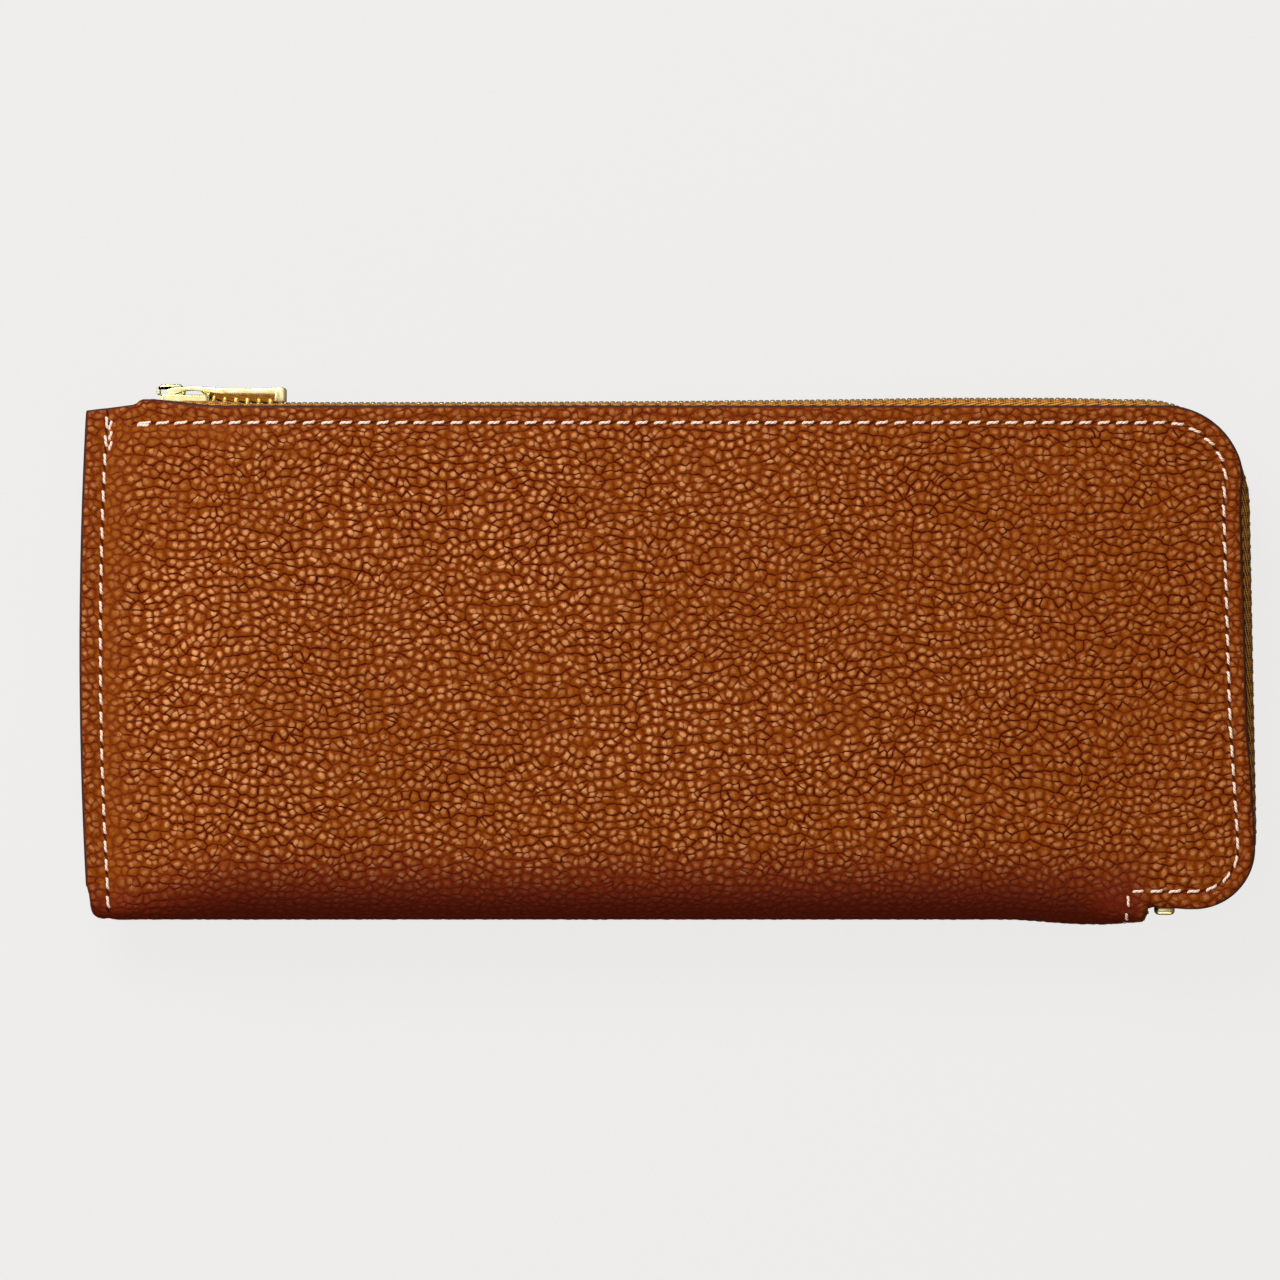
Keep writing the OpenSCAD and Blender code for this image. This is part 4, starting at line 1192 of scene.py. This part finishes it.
def thin_sheet(name, corners_x, corners_y, z_low, thickness, material, round_r=2.0, hem=0.0):
    """A closed thin leaf with rounded corners and soft borders. hem is how far in its pressed line is."""
    x0, x1 = corners_x
    y0, y1 = corners_y
    xs = steps_to(x1 - x0, 2.0, (0, 0.15, 0.5), (0, 0.15, 0.5)) + x0
    ys = steps_to(y1 - y0, 2.0, (0, 0.15, 0.5), (0, 0.15, 0.5)) + y0
    grid_x, grid_y = np.meshgrid(xs, ys)
    for cx, cy, sx, sy in ((x0, y0, 1, 1), (x1, y0, -1, 1), (x0, y1, 1, -1), (x1, y1, -1, -1)):
        px, py = (grid_x - cx) * sx, (grid_y - cy) * sy
        near = (px < round_r) & (py < round_r)
        big = np.maximum(round_r - px, round_r - py)
        both = np.hypot(round_r - px, round_r - py)
        pull = np.where(near & (both > 0), big / np.maximum(both, 1e-9), 1)
        grid_x = np.where(near, cx + sx * (round_r - (round_r - px) * pull), grid_x)
        grid_y = np.where(near, cy + sy * (round_r - (round_r - py) * pull), grid_y)
    border = np.minimum(np.minimum(grid_x - x0, x1 - grid_x), np.minimum(grid_y - y0, y1 - grid_y))
    thin = thickness * 0.32 * (1 - ease(border / 0.4))
    line = 0.05 * np.exp(-(((y1 - grid_y) - hem) / 0.25) ** 2) if hem else 0
    top = np.stack([grid_x, grid_y, z_low + thickness - thin - line], 2)
    low = np.stack([grid_x, grid_y, z_low + thin], 2)
    return closed_pair(name, top, low, material)


def closed_pair(name, top, low, material):
    """A closed sheet from its two faces' point grids."""
    rows, columns = top.shape[:2]
    count = rows * columns
    index = np.arange(count).reshape(rows, columns)
    faces = grid_faces(index, flip=False) + grid_faces(index + count, flip=True)
    loop = np.concatenate([index[0, :-1], index[:-1, -1], index[-1, :0:-1], index[:0:-1, 0]])
    for a, b in zip(loop, np.roll(loop, -1)):
        faces.append([int(a), int(b), int(b) + count, int(a) + count])
    points = np.concatenate([top.reshape(-1, 3), low.reshape(-1, 3)])
    return make(name, points, orient(points, faces), [material])


def orient(points, faces):
    """Faces turned so that the closed shape's volume is positive."""
    volume = 0.0
    for f in faces:
        a = points[f[0]]
        for i in range(1, len(f) - 1):
            volume += a @ np.cross(points[f[i]], points[f[i + 1]])
    return faces if volume > 0 else [f[::-1] for f in faces]


def panel_lining(name, side, material, low_z, thickness, inset):
    """The lining of one panel with its half of the fold."""
    top_edge = TOP - inset
    xs = steps_to(RIGHT - inset - 1.5 - LEFT - 5, 2.0) + LEFT + 5
    outer_rows, inner_rows = [], []
    for depth, rows in ((low_z, outer_rows), (low_z + thickness, inner_rows)):
        for x in xs:
            half = max(0.25, float(half_depth(x)) - depth)
            column = []
            corner = max(0.0, x - (RIGHT - inset - 1.5 - 10))
            cut = 10 - math.sqrt(max(0.0, 100 - corner ** 2))
            high = top_edge - cut
            if x < FOLD_END - 1:
                drop = min(float(half_depth(x)), MID) - depth
                base = float(bottom_y(0)) + float(half_depth(x))
                for y in np.linspace(high, base, 30):
                    column.append((x, y, MID + side * half))
                for q in np.linspace(0, 1, 11)[1:]:
                    column.append((x, base - max(0.2, drop) * math.sin(q * RIGHT_ANGLE),
                                   MID + side * half * math.cos(q * RIGHT_ANGLE)))
            else:
                for y in np.linspace(high, LOW_EDGE + inset + cut, 40):
                    column.append((x, y, MID + side * half))
            rows.append(column)
    return closed_pair(name, np.array(outer_rows), np.array(inner_rows), material)


def build_coin_pocket(material):
    """One folded sheet: a back leaf, a round bottom and a front leaf, with its right side closed."""
    low = node_box("coin_pocket")[0]
    corner_high = node_box("coin_pocket_corner")[1]
    x0, x1 = low[0], corner_high[0]
    y0, y1 = low[1], corner_high[1]
    z0, z1 = low[2], corner_high[2]
    thickness = 0.4
    radius = (z1 - z0) / 2
    centre_y, centre_z = y0 + radius, (z0 + z1) / 2
    path = [(y, z0) for y in np.linspace(y1, centre_y, 36)]
    turns = np.linspace(0, math.pi, 13)[1:-1]
    path += [(centre_y - radius * math.sin(a), centre_z - radius * math.cos(a)) for a in turns]
    path += [(y, z1) for y in np.linspace(centre_y, y1, 36)]
    path = np.array(path)
    tangent = np.gradient(path, axis=0)
    tangent /= np.linalg.norm(tangent, axis=1, keepdims=True)
    inward = np.stack([-tangent[:, 1], tangent[:, 0]], 1)
    toward = np.array([centre_y + 10, centre_z]) - path
    inward *= np.sign((inward * toward).sum(1))[:, None]
    xs = steps_to(x1 - x0, 2.0, (0, 0.3), (0, 0.3)) + x0
    wave = 0.12 * np.sin(xs / 11.0)
    outer = np.array([[(x, y, z) for (y, z) in path] for x in xs])
    inner_path = path + thickness * inward
    inner = np.array([[(x, y, z) for (y, z) in inner_path] for x in xs])
    for surface in (outer, inner):
        surface[:, 20:36, 2] += wave[:, None] * 0.5
    sheet = closed_pair("coin_pocket_sheet", outer, inner, material)
    side_low, side_high = node_box("coin_pocket_side")
    wall = gusset_wall("coin_pocket_gusset", side_low, side_high, material)
    return sheet, wall


def gusset_wall(name, low, high, material):
    """A narrow strip between two leaves, bowed inwards along its middle."""
    rows, columns = 24, 9
    ys = np.linspace(low[1], high[1], rows)
    zs = np.linspace(low[2], high[2], columns)
    t = (zs - low[2]) / (high[2] - low[2])
    bow = 0.9 * np.sin(np.pi * t)
    thickness = max(0.25, high[0] - low[0])
    grid = np.array([[(high[0] - b, y, z) for z, b in zip(zs, bow)] for y in ys])
    back = grid.copy()
    back[..., 0] -= thickness
    return closed_pair(name, grid, back, material)


# ---------------------------------------------------------------- building it all


def bend(piece):
    """Bakes a piece's placement into its points. The piece is not bent."""
    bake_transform(piece)


def hang(piece, body, slot, *nodes):
    """Puts a piece on its body, or for a creased panel only bakes its placement, in place of its nodes."""
    if body == "bent_front":
        bend(piece)
    elif body == "bent_pocket":
        bend(piece)
    else:
        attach(piece, body)
    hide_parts(*nodes)


def build_wallet():
    rng = np.random.default_rng(5)
    leather, edge = leather_material(), edge_material()
    flesh = suede_material("flesh_side", (0.26, 0.12, 0.05, 1), (0.42, 0.22, 0.10, 1))
    lining = suede_material("lining_leather", (0.25, 0.105, 0.035, 1), (0.40, 0.19, 0.075, 1), 0.7)
    tape, thread, board = tape_material(), thread_material(), board_material()
    chain_metal = metal_material("chain_metal", (0.70, 0.52, 0.22), 0.3)
    slider_metal = metal_material("slider_metal", (0.84, 0.76, 0.43), 0.2)

    hide = [leather, edge, flesh]
    front = build_leather("leather_front", 1, hide)
    hang(front, "bent_front", "leather", "outer_leather", "outer_leather_corner")
    hang(build_leather("leather_back", -1, hide), "root", "leather", "outer_leather")
    hang_stitches(thread, rng)
    for side, word in ((1, "front"), (-1, "back")):
        body = "bent_front" if side > 0 else "root"
        hang(build_tape(f"tape_{word}", side, tape), body, "zip_tape", f"zip_tape_{word}")
        hang(build_teeth(f"teeth_{word}", side, chain_metal), body, "zip_metal", f"zip_teeth_{word}")
    hang_slider_and_stops(slider_metal)
    hang_tab(tape)
    hang_inside(lining, board)


def hang_stitches(thread, rng):
    front_line, left_line = front_stitch_places(), left_stitch_places()
    for name, places, side, body, node in (
        ("stitches_front", front_line, 1, "bent_front", "front_thread"),
        ("stitches_back", front_line, -1, "root", "back_thread"),
        ("stitches_left_front", left_line, 1, "root", "left_seam_thread"),
        ("stitches_left_back", left_line, -1, "root", "left_seam_thread"),
    ):
        hang(build_stitches(name, places, side, thread, rng), body, "thread", node)


def hang_slider_and_stops(metal):
    for name, node, body, width in (
        ("slider_shell", "slider_body", "slider", 0.2),
        ("slider_arch", "slider_bridge", "slider", 0.25),
        ("stop_low", "bottom_stop", "root", 0.7),
        ("stop_top_front", "top_stop_front", "front_corner", 0.35),
        ("stop_top_back", "top_stop_back", "root", 0.35),
    ):
        hang(rounded_copy(name, node, metal, width), body, "zip_metal", node)
    for side in (-1, 1):
        hang(build_flange(metal, side), "slider", "zip_metal", "slider_body")
    for piece in build_pull(metal):
        hang(piece, "pull", "zip_metal", "pull_tab")


def hang_tab(tape):
    """The cloth tab at the zip's end, turned on edge between the lining and the leather."""
    low, high = node_box("zip_end_tab")
    tab = thin_sheet("end_tab", (low[0], high[0]), (0, 1), 0, 0.5, tape)
    for vertex in tab.data.vertices:
        x, y, z = vertex.co
        vertex.co = (x, low[1] * MM + z, (low[2] + (high[2] - low[2]) * y / MM) * MM)
    hang(tab, "root", "zip_tape", "zip_end_tab")


def hang_inside(lining, board):
    piece = panel_lining("lining_front", 1, lining, 1.8, 0.6, 3.5)
    hang(piece, "bent_front", "lining", "lining", "lining_corner")
    hang(panel_lining("lining_back", -1, lining, 1.8, 0.6, 3.5), "root", "lining", "lining")
    for name, z, body, nodes in (
        ("board_front", 2 * MID - BOARD_HIGH[2], "bent_front", ("front_board", "front_board_corner")),
        ("board_back", BOARD_LOW[2], "root", ("back_board",)),
    ):
        piece = thin_sheet(name, (BOARD_LOW[0], BOARD_HIGH[0]), (BOARD_LOW[1], BOARD_HIGH[1]), z,
                           BOARD_HIGH[2] - BOARD_LOW[2], board, round_r=8)
        hang(piece, body, "board", *nodes)
    for node in ("card_backing", "card_row_1", "card_row_2", "card_row_3"):
        low, high = node_box(node)
        piece = thin_sheet(node + "_leaf", (low[0], high[0]), (low[1], high[1]), low[2], high[2] - low[2],
                           lining, hem=1.6)
        hang(piece, "root", "lining", node)
    sheet, wall = build_coin_pocket(lining)
    hang(sheet, "bent_pocket", "lining", "coin_pocket", "coin_pocket_corner")
    hang(wall, "bent_pocket", "lining", "coin_pocket_side")
    low, high = node_box("left_gusset")
    gusset = gusset_wall("left_gusset_wall", np.array([high[0] - 0.4, low[1], 3.7]),
                         np.array([high[0], high[1] - 2, 16.3]), lining)
    strip = thin_sheet("left_gusset_strip", (low[0], high[0]), (low[1], high[1]), MID - 0.15, 0.3, lining)
    for piece in (gusset, strip):
        hang(piece, "root", "lining", "left_gusset")


# ---------------------------------------------------------------- floor, light and camera


def area_light(name, place, aim, size, watts, colour=(1, 1, 1), length=None):
    data = bpy.data.lights.new(name, "AREA")
    data.shape = "RECTANGLE"
    data.size, data.size_y = size, length or size
    data.energy = watts
    data.color = colour
    lamp = bpy.data.objects.new(name, data)
    lamp.location = place
    lamp.rotation_mode = "QUATERNION"
    lamp.rotation_quaternion = (Vector(aim) - Vector(place)).to_track_quat("-Z", "Y")
    lamp.visible_camera = False
    bpy.context.collection.objects.link(lamp)


def build_floor():
    """Plain pale floor, a hair below the wallet."""
    size, z = 6.0, -0.0002
    mesh = bpy.data.meshes.new("floor")
    corners = [(-size, -size, z), (size, -size, z), (size, size, z), (-size, size, z)]
    mesh.from_pydata(corners, [], [(0, 1, 2, 3)])
    floor = bpy.data.objects.new("floor", mesh)
    bpy.context.collection.objects.link(floor)
    material, _, shader = new_material("floor")
    shader.inputs["Base Color"].default_value = (0.03, 0.03, 0.03, 1)
    shader.inputs["Roughness"].default_value = 1.0
    shader.inputs["Specular IOR Level"].default_value = 0.0
    shader.inputs["Emission Color"].default_value = (1, 0.991, 0.972, 1)
    shader.inputs["Emission Strength"].default_value = 0.805
    mesh.materials.append(material)
    floor.visible_diffuse = False
    floor.visible_glossy = False


def build_lights():
    """A soft room, brighter from behind, with four softboxes."""
    world = bpy.data.worlds.new("studio")
    world.use_nodes = True
    net = Net(world.node_tree)
    background = world.node_tree.nodes["Background"]
    up = net.xyz(net.node("ShaderNodeTexCoord").outputs["Generated"])
    level = net.math("MULTIPLY_ADD", up[1], 0.5, net.math("MULTIPLY", up[2], 0.6))
    room = net.mix(net.between(level, -0.4, 0.8), (0.10, 0.09, 0.085, 1), (0.75, 0.75, 0.76, 1))
    net.put(background.inputs["Color"], room)
    background.inputs["Strength"].default_value = 0.55
    bpy.context.scene.world = world

    area_light("softbox_behind", (-0.4, 0.68, 0.8), (0, 0, 0), 0.7, 18.0, length=0.4)
    area_light("softbox_left", (-0.85, 0.0, 0.7), (0, 0, 0), 0.5, 2.5)
    area_light("softbox_over", (0.0, 0.0, 1.2), (0, 0, 0), 0.7, 1.5)
    area_light("softbox_low", (0.1, -0.9, 0.4), (0, 0, 0), 0.6, 3.0, (1, 0.96, 0.9))


def build_camera():
    """Looks straight down, from far enough to lose the perspective. width is the view's width."""
    lens, sensor = 400.0, 36.0
    width = 0.2146
    data = bpy.data.cameras.new("camera")
    data.lens, data.sensor_width = lens, sensor
    camera = bpy.data.objects.new("camera", data)
    top = 2 * MID * MM
    camera.location = (-0.00478, 0.00235, top + width * lens / sensor)
    data.clip_start, data.clip_end = 0.1, 20
    bpy.context.collection.objects.link(camera)
    bpy.context.scene.camera = camera
    bpy.context.scene.view_settings.view_transform = "Standard"


build_camera()
build_floor()
build_lights()
build_wallet()
